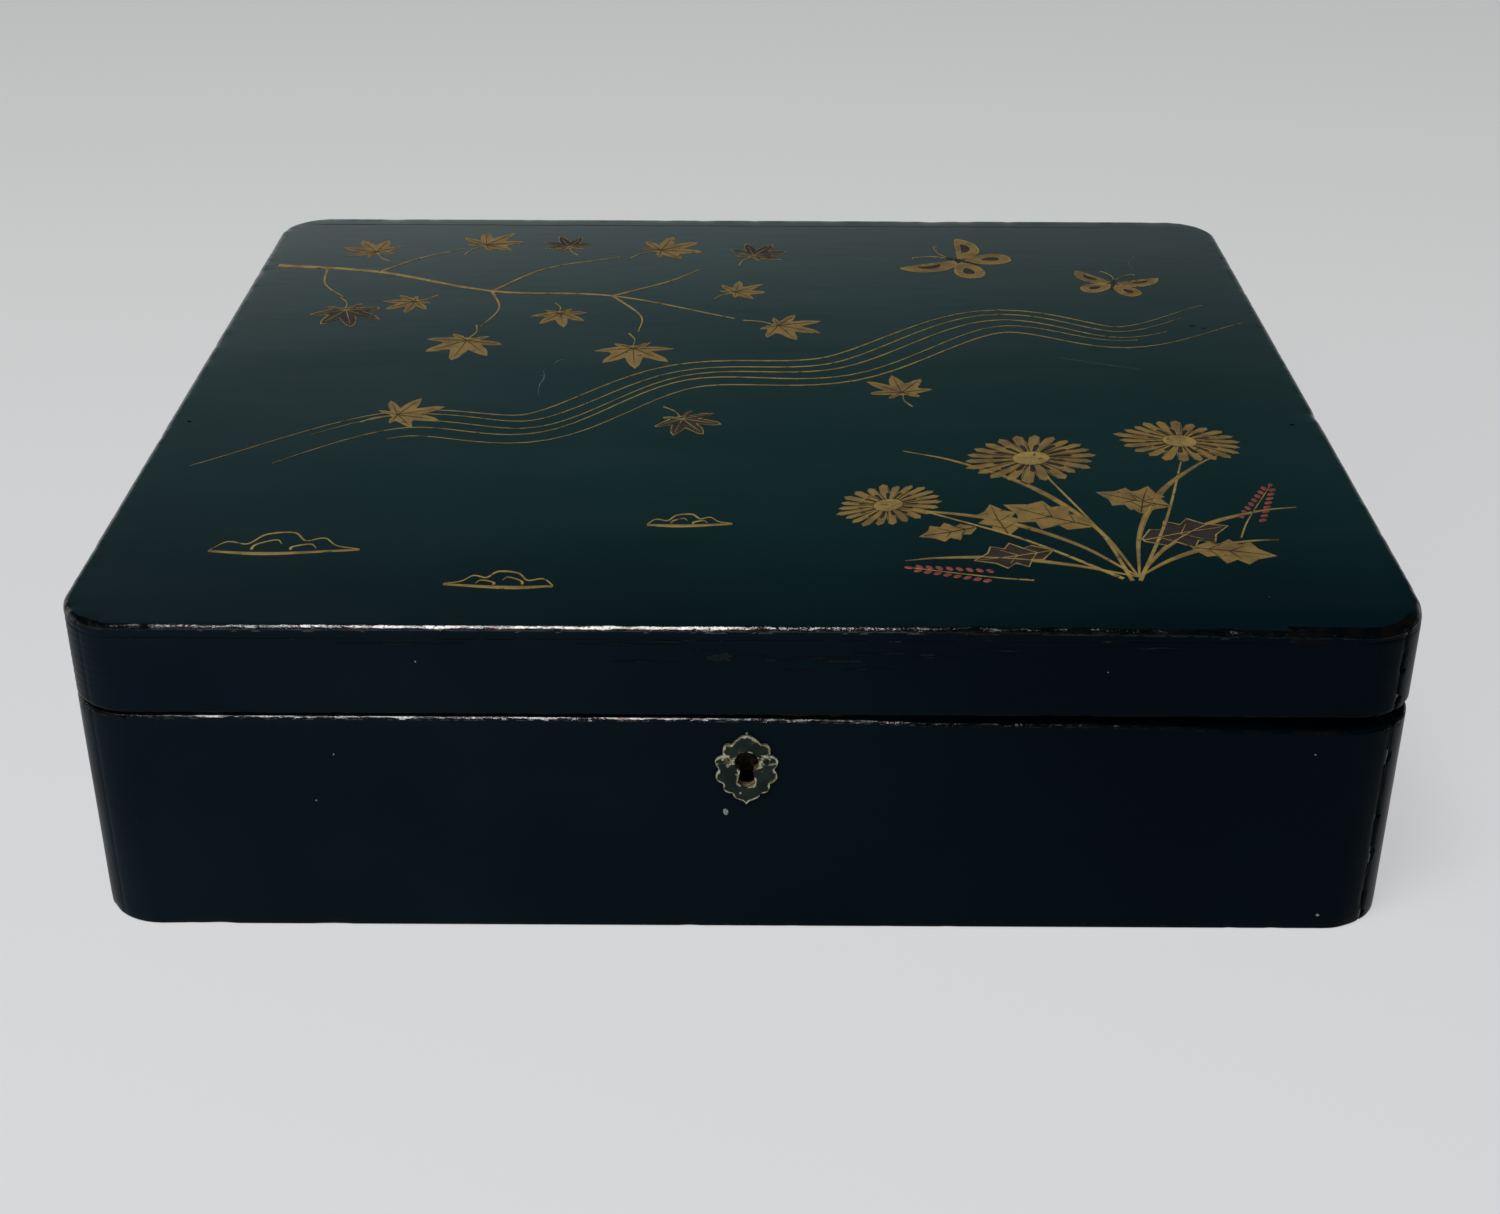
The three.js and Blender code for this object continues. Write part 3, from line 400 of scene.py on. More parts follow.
def inner_finish():
    """The inside: brown-black lacquer brushed over the boards, satin."""
    f = Finish("inner_lacquer")
    streaks = f.span(f.noise(150.0, 4.0, (0.06, 1.0, 1.0)), 0.3, 0.7)
    clouds = f.span(f.noise(9.0, 3.0), 0.35, 0.7)
    base = f.mix(streaks, (0.013, 0.0070, 0.0050), (0.018, 0.0100, 0.0070))
    base = f.mix(f.times(clouds, 0.5), base, (0.019, 0.0120, 0.0088))
    rough = f.span(f.noise(220.0, 4.0, (0.1, 1.0, 1.0)), 0.3, 0.7, 0.34, 0.42)
    normal = f.bump(f.noise(380.0, 3.0, (0.08, 1.0, 1.0)), 0.0001, 0.2)
    return f.feed(Base_Color=base, Roughness=rough, Normal=normal)


def brass_finish(name, fresh, aged, share, rough_low, rough_high):
    """Brass in two tones, with more of the aged one as share grows, and fine file marks."""
    f = Finish(name)
    base = f.mix(f.span(f.noise(330.0, 5.0), 0.5 - share, 0.72 - share), fresh, aged)
    pits = f.span(f.noise(2600.0, 2.0), 0.6, 0.75)
    base = f.mix(f.times(pits, 0.5), base, (0.02, 0.02, 0.012))
    rough = f.span(f.noise(700.0, 3.0), 0.3, 0.7, rough_low, rough_high)
    normal = f.bump(f.noise(1800.0, 3.0, (1.0, 0.3, 1.0)), 0.0001, 0.3)
    return f.feed(Base_Color=base, Roughness=rough, Metallic=1.0, Normal=normal)


def plate_finish():
    """The keyhole plate: green-black patina, worn to yellow brass along its edges and beside the keyhole."""
    f = Finish("keyhole_plate_patina")
    height = f.axis("Z")
    low, high = KEYHOLE_PLATE
    rubbed_z = (low.z + RUBBED_SHARE * (high.z - low.z)) * MM
    above = f.span(height, rubbed_z - 1.6 * MM, rubbed_z - 0.7 * MM)
    below = f.span(height, rubbed_z + 0.6 * MM, rubbed_z + 1.5 * MM, 1.0, 0.0)
    strokes = f.span(f.noise(650.0, 3.0, (0.6, 1.0, 1.3)), 0.50, 0.60)
    rubs = f.times(f.times(above, below), strokes)
    broken = f.times(f.noise(520.0, 5.0), 3.0)
    worn = f.span(f.maths("ADD", f.attribute("edge_wear"), broken), 1.90, 2.18)
    shine = f.maths("MAXIMUM", worn, f.times(rubs, 0.85))
    mottle = f.span(f.noise(300.0, 5.0), 0.38, 0.66)
    patina = f.mix(mottle, (0.004, 0.009, 0.0072), (0.011, 0.020, 0.0145))
    brass = f.mix(f.span(f.noise(700.0, 3.0), 0.42, 0.60), (0.43, 0.43, 0.32), (0.20, 0.19, 0.09))
    base = f.mix(shine, patina, brass)
    rough = f.span(shine, 0.0, 1.0, 0.50, 0.36)
    metal = f.span(shine, 0.0, 1.0, 0.0, 0.8)
    normal = f.bump(f.noise(1500.0, 4.0), 0.00012, 0.5)
    return f.feed(Base_Color=base, Roughness=rough, Metallic=metal, Normal=normal, Specular_IOR_Level=0.12)


def bare_wood_finish():
    """Raw wood, darkened by handling, where the keyhole is cut through the front."""
    f = Finish("bare_wood")
    fibres = f.span(f.noise(900.0, 4.0, (0.1, 1.0, 1.0)), 0.3, 0.7)
    base = f.mix(fibres, (0.085, 0.062, 0.028), (0.26, 0.20, 0.095))
    return f.feed(Base_Color=base, Roughness=0.7, Normal=f.bump(fibres, 0.0002, 0.5))


def steel_finish():
    """Dull filed iron with rust in its pits."""
    f = Finish("filed_iron")
    rust = f.span(f.noise(520.0, 5.0), 0.52, 0.68)
    base = f.mix(rust, (0.24, 0.22, 0.20), (0.10, 0.045, 0.02))
    rough = f.span(rust, 0.0, 1.0, 0.38, 0.7)
    metal = f.span(rust, 0.0, 1.0, 1.0, 0.3)
    normal = f.bump(f.noise(1500.0, 3.0, (0.2, 1.0, 1.0)), 0.0001, 0.4)
    return f.feed(Base_Color=base, Roughness=rough, Metallic=metal, Normal=normal)


def powder_finish(name, bright, worn, ground, cover, specular):
    """Sprinkled metal powder over lacquer: grains, tarnish, and the ground showing where it is rubbed."""
    f = Finish(name)
    grains = f.span(f.noise(3200.0, 2.0), 0.35, 0.65)
    tarnish = f.span(f.noise(190.0, 5.0), 0.40, 0.66)
    base = f.mix(tarnish, bright, worn)
    base = f.mix(f.times(grains, 0.35), base, worn)
    gone = f.times(f.span(f.noise(520.0, 5.0), cover, cover + 0.08), 0.85)
    base = f.mix(gone, base, ground)
    rough = f.span(grains, 0.0, 1.0, 0.42, 0.6)
    metal = f.span(gone, 0.0, 1.0, 0.45, 0.0)
    f.feed(Base_Color=base, Roughness=rough, Metallic=metal)
    return f.feed(Normal=f.bump(grains, 0.00008, 0.5), Specular_IOR_Level=specular)


def mark_finish(name, colour):
    """A small mark: its colour broken by fine grain."""
    f = Finish(name)
    grains = f.span(f.noise(1900.0, 3.0), 0.38, 0.62)
    base = f.mix(grains, tuple(0.45 * c for c in colour), colour)
    return f.feed(Base_Color=base, Roughness=0.6, Normal=f.bump(grains, 0.0001, 0.5), Specular_IOR_Level=0.08)


# Camera, light and floor


def add_camera():
    """The photograph's viewpoint."""
    pitch, yaw, roll = (math.radians(v) for v in (CAMERA_PITCH, CAMERA_YAW, CAMERA_ROLL))
    forward = Vector((-math.sin(yaw) * math.cos(pitch), math.cos(yaw) * math.cos(pitch), -math.sin(pitch)))
    level = Vector((math.cos(yaw), math.sin(yaw), 0))
    rise = level.cross(forward)
    right = level * math.cos(roll) + rise * math.sin(roll)
    up = rise * math.cos(roll) - level * math.sin(roll)
    data = bpy.data.cameras.new("photo_camera")
    data.sensor_width = SENSOR_WIDTH
    data.lens = CAMERA_LENS
    camera = add_object("photo_camera", data)
    turn = Matrix((right, up, -forward)).transposed()
    camera.matrix_world = Matrix.Translation(Vector(CAMERA_PLACE) * MM) @ turn.to_4x4()
    bpy.context.scene.camera = camera


def add_lamp(name, place, target, size, watts, mirrored):
    """A soft rectangular studio lamp aimed at a point, all in metres, which gloss mirrors or not."""
    data = bpy.data.lights.new(name, "AREA")
    data.shape = "RECTANGLE"
    data.size, data.size_y = size
    data.energy = watts
    lamp = add_object(name, data)
    lamp.location = place
    lamp.rotation_euler = (Vector(target) - Vector(place)).to_track_quat("-Z", "Y").to_euler()
    lamp.visible_glossy = mirrored


def add_world():
    """A pale studio round the horizon that falls off to dark overhead, and is dimmer on the right."""
    world = bpy.data.worlds.new("studio")
    bpy.context.scene.world = world
    nodes = Nodes(world)
    direction = nodes.axes("Generated")
    stops = [
        (0.0, (0.60, 0.61, 0.61)),
        (0.28, (0.50, 0.52, 0.52)),
        (0.33, (0.22, 0.27, 0.27)),
        (0.36, (0.095, 0.13, 0.13)),
        (0.39, (0.055, 0.08, 0.082)),
        (0.43, (0.033, 0.05, 0.052)),
        (0.50, (0.016, 0.025, 0.027)),
        (1.0, (0.014, 0.02, 0.023)),
    ]
    sky = nodes.ramp(direction["Z"], stops)
    fall = {"Value": direction["X"], "From Min": -0.15, "From Max": 0.2, "To Min": 1.15, "To Max": 0.6}
    side = nodes.add("MapRange", fall).outputs["Result"]
    shade = nodes.add("VectorMath", {0: sky, "Scale": side}, "SCALE").outputs[0]
    nodes.join(nodes.tree.nodes["Background"].inputs["Color"], shade)


def add_floor():
    """A pale floor that shows as light to the camera and in gloss, and keeps a soft shadow."""
    corners = [(x * FLOOR_REACH, y * FLOOR_REACH, 0) for x, y in ((-1, -1), (1, -1), (1, 1), (-1, 1))]
    floor = add_mesh("floor", corners, [(0, 1, 2, 3)])
    nodes = Nodes(bpy.data.materials.new("floor_paper"))
    nodes.tree.nodes.clear()
    # The paper is painted lighter at the front and darker towards the back: painted falloff of light.
    far = nodes.add("MapRange", {"Value": nodes.axes("Object")["Y"], "From Min": -0.5, "From Max": 1.0})
    stops = [(0.0, (0.755, 0.755, 0.775)), (0.5, (0.70, 0.705, 0.71)), (1.0, (0.62, 0.64, 0.63))]
    paper = nodes.ramp(far.outputs["Result"], stops)
    matt = nodes.add("BsdfDiffuse", {"Color": paper}).outputs[0]
    glow = nodes.add("Emission", {"Color": paper}).outputs[0]
    lit = nodes.add("MixShader", {0: FLOOR_GLOW, 1: matt, 2: glow}).outputs[0]
    rays = nodes.add("LightPath").outputs
    seen = nodes.maths("MAXIMUM", rays["Is Camera Ray"], rays["Is Glossy Ray"])
    seen = nodes.maths("MAXIMUM", seen, rays["Is Transmission Ray"])
    surface = nodes.add("MixShader", {0: seen, 1: matt, 2: lit}).outputs[0]
    nodes.add("OutputMaterial", {"Surface": surface})
    floor.data.materials.append(nodes.owner)


# Worn form of the case, in millimetres


def outline_stations():
    """Points round the box's outline, anticlockwise, with their outward normals."""
    points = []
    normals = []
    joint = math.asin((CORNER_RADIUS - CORNER_LAP) / CORNER_RADIUS)
    steps = round(CORNER_RADIUS * math.pi / 2 / ARC_STEP)
    for quarter, (sign_x, sign_y) in enumerate([(1, 1), (-1, 1), (-1, -1), (1, -1)]):
        level = quarter % 2 == 0
        seam = joint if level else math.pi / 2 - joint
        turns = [k / steps * math.pi / 2 for k in range(steps + 1)]
        turns += [seam + shift / CORNER_RADIUS for shift in SEAM_SHIFTS]
        for turn in sorted(turns):
            angle = quarter * math.pi / 2 + turn
            normals.append(np.array([math.cos(angle), math.sin(angle)]))
            points.append(np.array([sign_x * STRAIGHT_X, sign_y * STRAIGHT_Y]) + CORNER_RADIUS * normals[-1])
        normal = np.array([(0, 1), (-1, 0), (0, -1), (1, 0)][quarter], float)
        along = np.array([-normal[1], normal[0]])
        length = 2 * (STRAIGHT_X if level else STRAIGHT_Y)
        count = round(length / (FRONT_STEP if quarter == 2 else SIDE_STEP))
        start = points[-1]
        for k in range(1, count):
            points.append(start + along * length * k / count)
            normals.append(normal)
    return np.array(points), np.array(normals)


POINTS, NORMALS = outline_stations()


def grain(x, y, z, size, seed=0.0):
    """Smooth noise from about -1 to 1, with features of about that size in millimetres."""
    return noise.noise(Vector((x / size + seed, y / size - seed, z / size + 2 * seed)))


def near(value, place, reach):
    """How near a value is to a place: 1 there, fading to 0 within a few reaches."""
    return math.exp(-(((value - place) / reach) ** 2))


def follow(curve, place):
    """A curve's value at a place."""
    return float(np.interp(place, *zip(*curve)))


def seam_nearness(x, y, corner_x, corner_y):
    """How near a point of a corner is to the seam where the side board ends."""
    if x * corner_x < STRAIGHT_X or y * corner_y < STRAIGHT_Y:
        return 0.0
    return near(abs(y), HALF_DEPTH - CORNER_LAP, 0.35)


def wall_inset(x, y, z):
    """How far the worn wall lies inside its true face, from slow waves and the corner seams."""
    inset = SKIN + WAVE * (0.5 + 0.5 * grain(x, y, z, 55))
    inset += 0.5 * WAVE * (0.5 + 0.5 * grain(x, y, 3 * z, 14, 3.1))
    chip = max(0.0, grain(x, y, z, 5, 7.7) - 0.15)
    inset += CORNER_GROOVE * seam_nearness(x, y, 1, -1) * (0.5 + 3 * chip)
    for corner in ((-1, -1), (-1, 1), (1, 1)):
        inset += 0.2 * CORNER_GROOVE * seam_nearness(x, y, *corner)
    return inset


def edge_inset(x, y, z, reach):
    """Extra wear of an edge: a steady rub, and deeper chips, more of them near both ends of the front."""
    rub = ARRIS_WEAR * (0.35 + 0.65 * abs(grain(x, y, z, 4.5, 1.3)) + 0.3 * grain(x, y, z, 1.7, 2.9))
    spared = 0.28 - 0.22 * (y < -STRAIGHT_Y) * follow(CHIP_SHARE, x)
    chip = ARRIS_CHIP * max(0.0, grain(x, y, z, 7, 5.2) - spared) * 2
    return (rub + chip) * reach


def arris_sag(x, y):
    """How far the top's front arris has been rubbed down: more and more towards the right corner."""
    return follow(ARRIS_SAG, x) * max(0.0, 1 - (y + HALF_DEPTH) / ARRIS_SAG_FADE)


def rim_drop(x, y):
    """How far the base's rim has sunk: most at the right front corner, fading down the right side."""
    return follow(RIM_DROP, x) * max(0.0, 1 - (y + HALF_DEPTH) / RIM_DROP_FADE) ** 1.5


def ridges(x, y, z):
    """Fine level ridges in the lacquer of the lid's left front corner."""
    if x > -STRAIGHT_X or y > -STRAIGHT_Y:
        return 0.0
    return RIDGE_DEPTH * (1 + math.sin(2 * math.pi * z / RIDGE_PITCH + 2 * grain(x, y, z, 9, 2.2)))


def make_stack(levels, place):
    """A closed body through rings: place gives a vertex for a station and a level."""
    count = len(POINTS)
    vertices = [place(i, level) for level in levels for i in range(count)]
    faces = []
    for k in range(len(levels) - 1):
        for i in range(count):
            a, b = k * count + i, k * count + (i + 1) % count
            faces.append((a, b, b + count, a + count))
    for ring, flip in ((0, True), (len(levels) - 1, False)):
        middle_z = np.mean(vertices[ring * count : (ring + 1) * count], axis=0)[2]
        centre = len(vertices)
        vertices.append((0.0, 0.0, middle_z))
        for i in range(count):
            a, b = ring * count + i, ring * count + (i + 1) % count
            faces.append((b, a, centre) if flip else (a, b, centre))
    return add_mesh("worn_form", vertices, faces)


def arc_levels(radius, z, steps, rising):
    """Levels of a quarter-round edge below a face at z if rising, else above one at z."""
    levels = []
    for k in range(steps + 1):
        turn = k / steps * math.pi / 2
        depth = radius * (1 - math.sin(turn))
        levels.append((radius * (1 - math.cos(turn)), z - depth if rising else z + depth))
    return levels if rising else levels[::-1]


def wall_levels(low, high, step, extras=()):
    """Levels up a plain wall, none further apart than a step, with a few given ones added."""
    count = math.ceil((high - low) / step)
    heights = [low + (high - low) * k / count for k in range(1, count)]
    heights = [z for z in heights if all(abs(z - extra) > 0.4 for extra in extras)]
    return [(0.0, z) for z in sorted([*heights, *extras])]


def lid_form():
    """The lid's worn outside, which the boards are cut with."""
    top = TOP_Z - TOP_SINK
    joint = TOP_JOINT_Z - 0.05
    low = LID_Z + SKIN
    levels = [(RIM_DEPTH, low), (RIM_BEVEL + 0.3, low), (RIM_BEVEL, low), (0.15, low + 0.3), (0.0, low + 0.8)]
    levels += wall_levels(low + 0.8, top - ARRIS_RADIUS, RIDGE_STEP, (joint - 0.35, joint, joint + 0.35))
    levels += arc_levels(ARRIS_RADIUS, top, ARRIS_STEPS, True)
    levels += [(inset, top) for inset in (2.2, 3.2, 5.0, 8.0, 12.0)]

    def place(i, level):
        inset, z = level
        x, y = POINTS[i]
        inset += wall_inset(x, y, z) * (inset < ARRIS_RADIUS)
        inset += ridges(x, y, z) * (z < joint) * (inset < RIM_BEVEL)
        inset += JOINT_GROOVE * near(z, joint, 0.3) * (0.5 + 0.9 * abs(grain(x, y, z, 11, 4.4)))
        arris = math.exp(-((inset**2 + (top - z) ** 2) ** 0.5) / WEAR_REACH)
        worn = edge_inset(x, y, z, arris)
        lower = EDGE_WEAR * near(z, low, 0.5) * (0.4 + abs(grain(x, y, z, 3.5, 8.8))) * (inset < 2)
        sunk = arris_sag(x, y) * max(0.0, (z - joint) / (top - joint))
        z += lower * 0.8
        z -= worn * 0.7 * (z > joint) * (inset < 4) + sunk * near(inset, 0.0, ARRIS_SAG_REACH)
        inset += worn * (inset < 4) + lower
        return (*(POINTS[i] - NORMALS[i] * inset), z)

    return make_stack(levels, place)


def base_form():
    """The base's worn outside, with the sunken front rim, which the boards are cut with."""
    foot = 0.02
    rim = RIM_Z - SKIN
    levels = [(FOOT_RADIUS + 3.0, foot)]
    levels += arc_levels(FOOT_RADIUS, foot, FOOT_STEPS, False)
    levels += wall_levels(foot + FOOT_RADIUS, rim - 0.8, WALL_STEP)
    levels += [(0.0, rim - 0.8), (0.15, rim - 0.35)]
    levels += [(inset, rim) for inset in (RIM_BEVEL, RIM_BEVEL + 0.5, RIM_DEPTH)]

    def place(i, level):
        inset, z = level
        x, y = POINTS[i]
        sunk = rim_drop(x, y) * max(0.0, 1 - (rim - z) / RIM_DROP_REACH)
        inset += wall_inset(x, y, z) * (inset < FOOT_RADIUS)
        foot_wear = 0.5 * edge_inset(x, y, z, near(z, foot, 1.2)) * (inset < 2)
        upper = EDGE_WEAR * near(z, rim, 0.6) * (0.4 + abs(grain(x, y, z, 3.5, 6.1))) * (inset < 2)
        inset += foot_wear + upper
        return (*(POINTS[i] - NORMALS[i] * inset), z - sunk - 0.8 * upper)

    return make_stack(levels, place)


def node_copy(name, node):
    """A new object with a watertight copy of a CAD node's mesh."""
    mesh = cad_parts[node].data.copy()
    mesh.materials.clear()
    work = bmesh.new()
    work.from_mesh(mesh)
    bmesh.ops.remove_doubles(work, verts=work.verts, dist=WELD)
    work.to_mesh(mesh)
    work.free()
    for attribute in [a.name for a in mesh.attributes if a.name in ("custom_normal", "sharp_edge")]:
        mesh.attributes.remove(mesh.attributes[attribute])
    return add_object(name, mesh)


def cut(piece, tool, operation):
    """Joins a piece's mesh with a closed tool by a boolean, and keeps the result as its mesh."""
    modifier = piece.modifiers.new("cut", "BOOLEAN")
    modifier.operation = operation
    modifier.solver = "MANIFOLD"
    modifier.object = tool
    bpy.context.view_layer.update()
    shaped = piece.evaluated_get(bpy.context.evaluated_depsgraph_get())
    mesh = bpy.data.meshes.new_from_object(shaped)
    piece.modifiers.clear()
    old = piece.data
    piece.data = mesh
    bpy.data.meshes.remove(old)


def drop_doubled_faces(mesh):
    """Deletes the slivers that a cut leaves as two faces back to back, and closes the mesh there."""
    work = bmesh.new()
    work.from_mesh(mesh)
    bmesh.ops.triangulate(work, faces=work.faces)
    pairs = {}
    for face in work.faces:
        corners = frozenset(tuple(round(value / SAME_PLACE) for value in v.co) for v in face.verts)
        pairs.setdefault(corners, []).append(face)
    doubled = [face for faces in pairs.values() if len(faces) == 2 for face in faces]
    bmesh.ops.delete(work, geom=doubled, context="FACES")
    bmesh.ops.remove_doubles(work, verts=work.verts, dist=SAME_PLACE)
    work.to_mesh(mesh)
    work.free()


def true_inset(x, y):
    """How far inside the box's true outline a point lies."""
    beyond_x, beyond_y = abs(x) - STRAIGHT_X, abs(y) - STRAIGHT_Y
    if beyond_x > 0 and beyond_y > 0:
        return CORNER_RADIUS - math.hypot(beyond_x, beyond_y)
    return min(HALF_WIDTH - abs(x), HALF_DEPTH - abs(y))


def edge_wear(x, y, z):
    """How worn an edge is at a point, from 0 to 1, for the finish."""
    inset = true_inset(x, y)
    top = math.exp(-math.hypot(max(inset, 0), TOP_Z - TOP_SINK - arris_sag(x, y) - z) / WEAR_REACH)
    meeting = max(near(z, RIM_Z - rim_drop(x, y), 0.8), near(z, LID_Z, 0.7)) * 0.9
    foot = 0.8 * near(z, 0.0, 1.0)
    around = max(meeting, foot) * math.exp(-max(inset, 0) / 1.5)
    joint = 0.6 * near(z, TOP_JOINT_Z, 0.4) * (inset < 1)
    seam = 0.9 * seam_nearness(x, y, 1, -1)
    return min(1.0, max(1.2 * top, around, joint, seam))


def edge_pale_and_highlight(x, y, z):
    """How far the pale ground is bare along the arrises, partly as a painted highlight: most along the left
    half of the front.
    """
    at_top = z > TOP_JOINT_Z
    spread = follow(PALE_ARRIS if at_top else PALE_RIM, x) if y < -STRAIGHT_Y else PALE_ELSEWHERE
    if at_top:
        rise = z - (TOP_Z - TOP_SINK - ARRIS_RADIUS)
        turn = math.degrees(math.atan2(rise, ARRIS_RADIUS - true_inset(x, y)))
        return spread * near(turn, PALE_TURN, 12 + 8 * spread)
    return spread * follow(PALE_RIM_FACE, z - RIM_Z + rim_drop(x, y))


def in_plate(x, z, margin):
    """Whether a point of the front lies behind the keyhole plate, that far from its sides."""
    low, high = KEYHOLE_PLATE
    return low.x + margin < x < high.x - margin and low.z + margin < z < high.z - margin


def finish_kind(polygon):
    """Which of a board's finishes a face takes."""
    x, y, z = polygon.center / MM
    inset = true_inset(x, y)
    across, along, rise = polygon.normal
    at_front = y < -STRAIGHT_Y
    edge = BRIGHT_EDGE if BRIGHT_EDGE_START < x < BRIGHT_EDGE_END and at_front else BLACK_EDGE
    arris_foot = TOP_Z - TOP_SINK - ARRIS_RADIUS - arris_sag(x, y)
    if abs(along) < 0.5 and in_plate(x, z, WALL_HOLE_MARGIN) and y < -HALF_DEPTH + WALL_THICKNESS:
        return BARE_FACE
    if z > arris_foot - 0.3 and inset < ARRIS_RADIUS + 1.5 and 0.2 < rise < 0.97:
        return edge
    if z > arris_foot and rise > 0.5:
        return TOP
    if inset < 2 and 0.5 < rise < 0.97 and near(z, RIM_Z - rim_drop(x, y), 0.8) > 0.3:
        return edge
    on_floor = rise > 0.9 and 1.0 < z < RIM_Z / 2
    under_top = rise < -0.9 and z > (LID_Z + TOP_Z) / 2
    facing_in = abs(rise) < 0.3 and across * x + along * y < 0
    return INSIDE if on_floor or under_top or facing_in else WALL


def finish_board(piece, finishes):
    """Gives a board its finishes, its wear and its shading."""
    mesh = piece.data
    drop_doubled_faces(mesh)
    mesh.materials.clear()
    for material in finishes:
        mesh.materials.append(material)
    if len(finishes) > 1:
        mesh.polygons.foreach_set("material_index", [finish_kind(polygon) for polygon in mesh.polygons])
    for name, measure in (("edge_wear", edge_wear), ("edge_pale_and_highlight", edge_pale_and_highlight)):
        attribute = mesh.attributes.new(name, "FLOAT", "POINT")
        attribute.data.foreach_set("value", [measure(*(v.co / MM)) for v in mesh.vertices])
    mesh.shade_smooth()
    mesh.set_sharp_from_angle(angle=math.radians(SHARP_DEGREES))


def dress(piece, body, slot, *nodes):
    """Says which body a piece rides on and which CAD nodes it stands for; the finish slot it is given is not
    used.
    """
    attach(piece, body)
    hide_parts(*nodes)


def make_boards(inner):
    """The lacquered boards of base and lid: the CAD boards with their outside worn."""
    # The first edge finish carries the pale band with its painted highlight along the front; the black one is
    # darker and duller.
    edge = edge_finish("rubbed_edge_and_painted_highlight", (0.0025, 0.0045, 0.0055), (0.011, 0.007, 0.006), 0.7)
    black_edge = edge_finish("rubbed_black_edge", (0.0010, 0.0022, 0.0028), (0.004, 0.0035, 0.0032), 0.22)
    finishes = [side_lacquer(), inner, top_lacquer(), edge, bare_wood_finish(), black_edge]
    walls = ["front_wall", "back_wall", "left_wall", "right_wall"]
    groups = [("base", base_form(), ["bottom_board", *walls]), ("lid", lid_form(), ["top_board", *walls])]
    cracked = ["lid_top_board", "lid_front_wall", "lid_right_wall", "base_front_wall", "base_right_wall"]
    damages = [(["lid_top_board", "lid_back_wall"], top_damage()), (cracked, corner_crack())]
    for body, form, boards in groups:
        for board in boards:
            node = f"{body}_{board}"
            piece = node_copy(f"{node}_lacquered", node)
            cut(piece, form, "INTERSECT")
            for damaged, cutter in damages:
                if node in damaged:
                    cut(piece, cutter, "DIFFERENCE")
            finish_board(piece, finishes)
            dress(piece, body, "black_lacquer", node)
        for block in ("front_left", "front_right", "back_left", "back_right"):
            node = f"{body}_corner_block_{block}"
            piece = node_copy(f"{node}_lacquered", node)
            cut(piece, form, "INTERSECT")
            finish_board(piece, [inner])
            dress(piece, body, "inner_lacquer", node)
        bpy.data.objects.remove(form)
    for _, cutter in damages:
        bpy.data.objects.remove(cutter)


# Flat drawing, in millimetres


def on_top(u, v, height):
    """A point drawn on the lid's top, at a height over the lacquer."""
    return (u, v, TOP_Z - TOP_SINK + height)


def on_front(u, v, height):
    """A point drawn on the front, across and up, at a height before the true face."""
    return (u, -HALF_DEPTH - height, v)


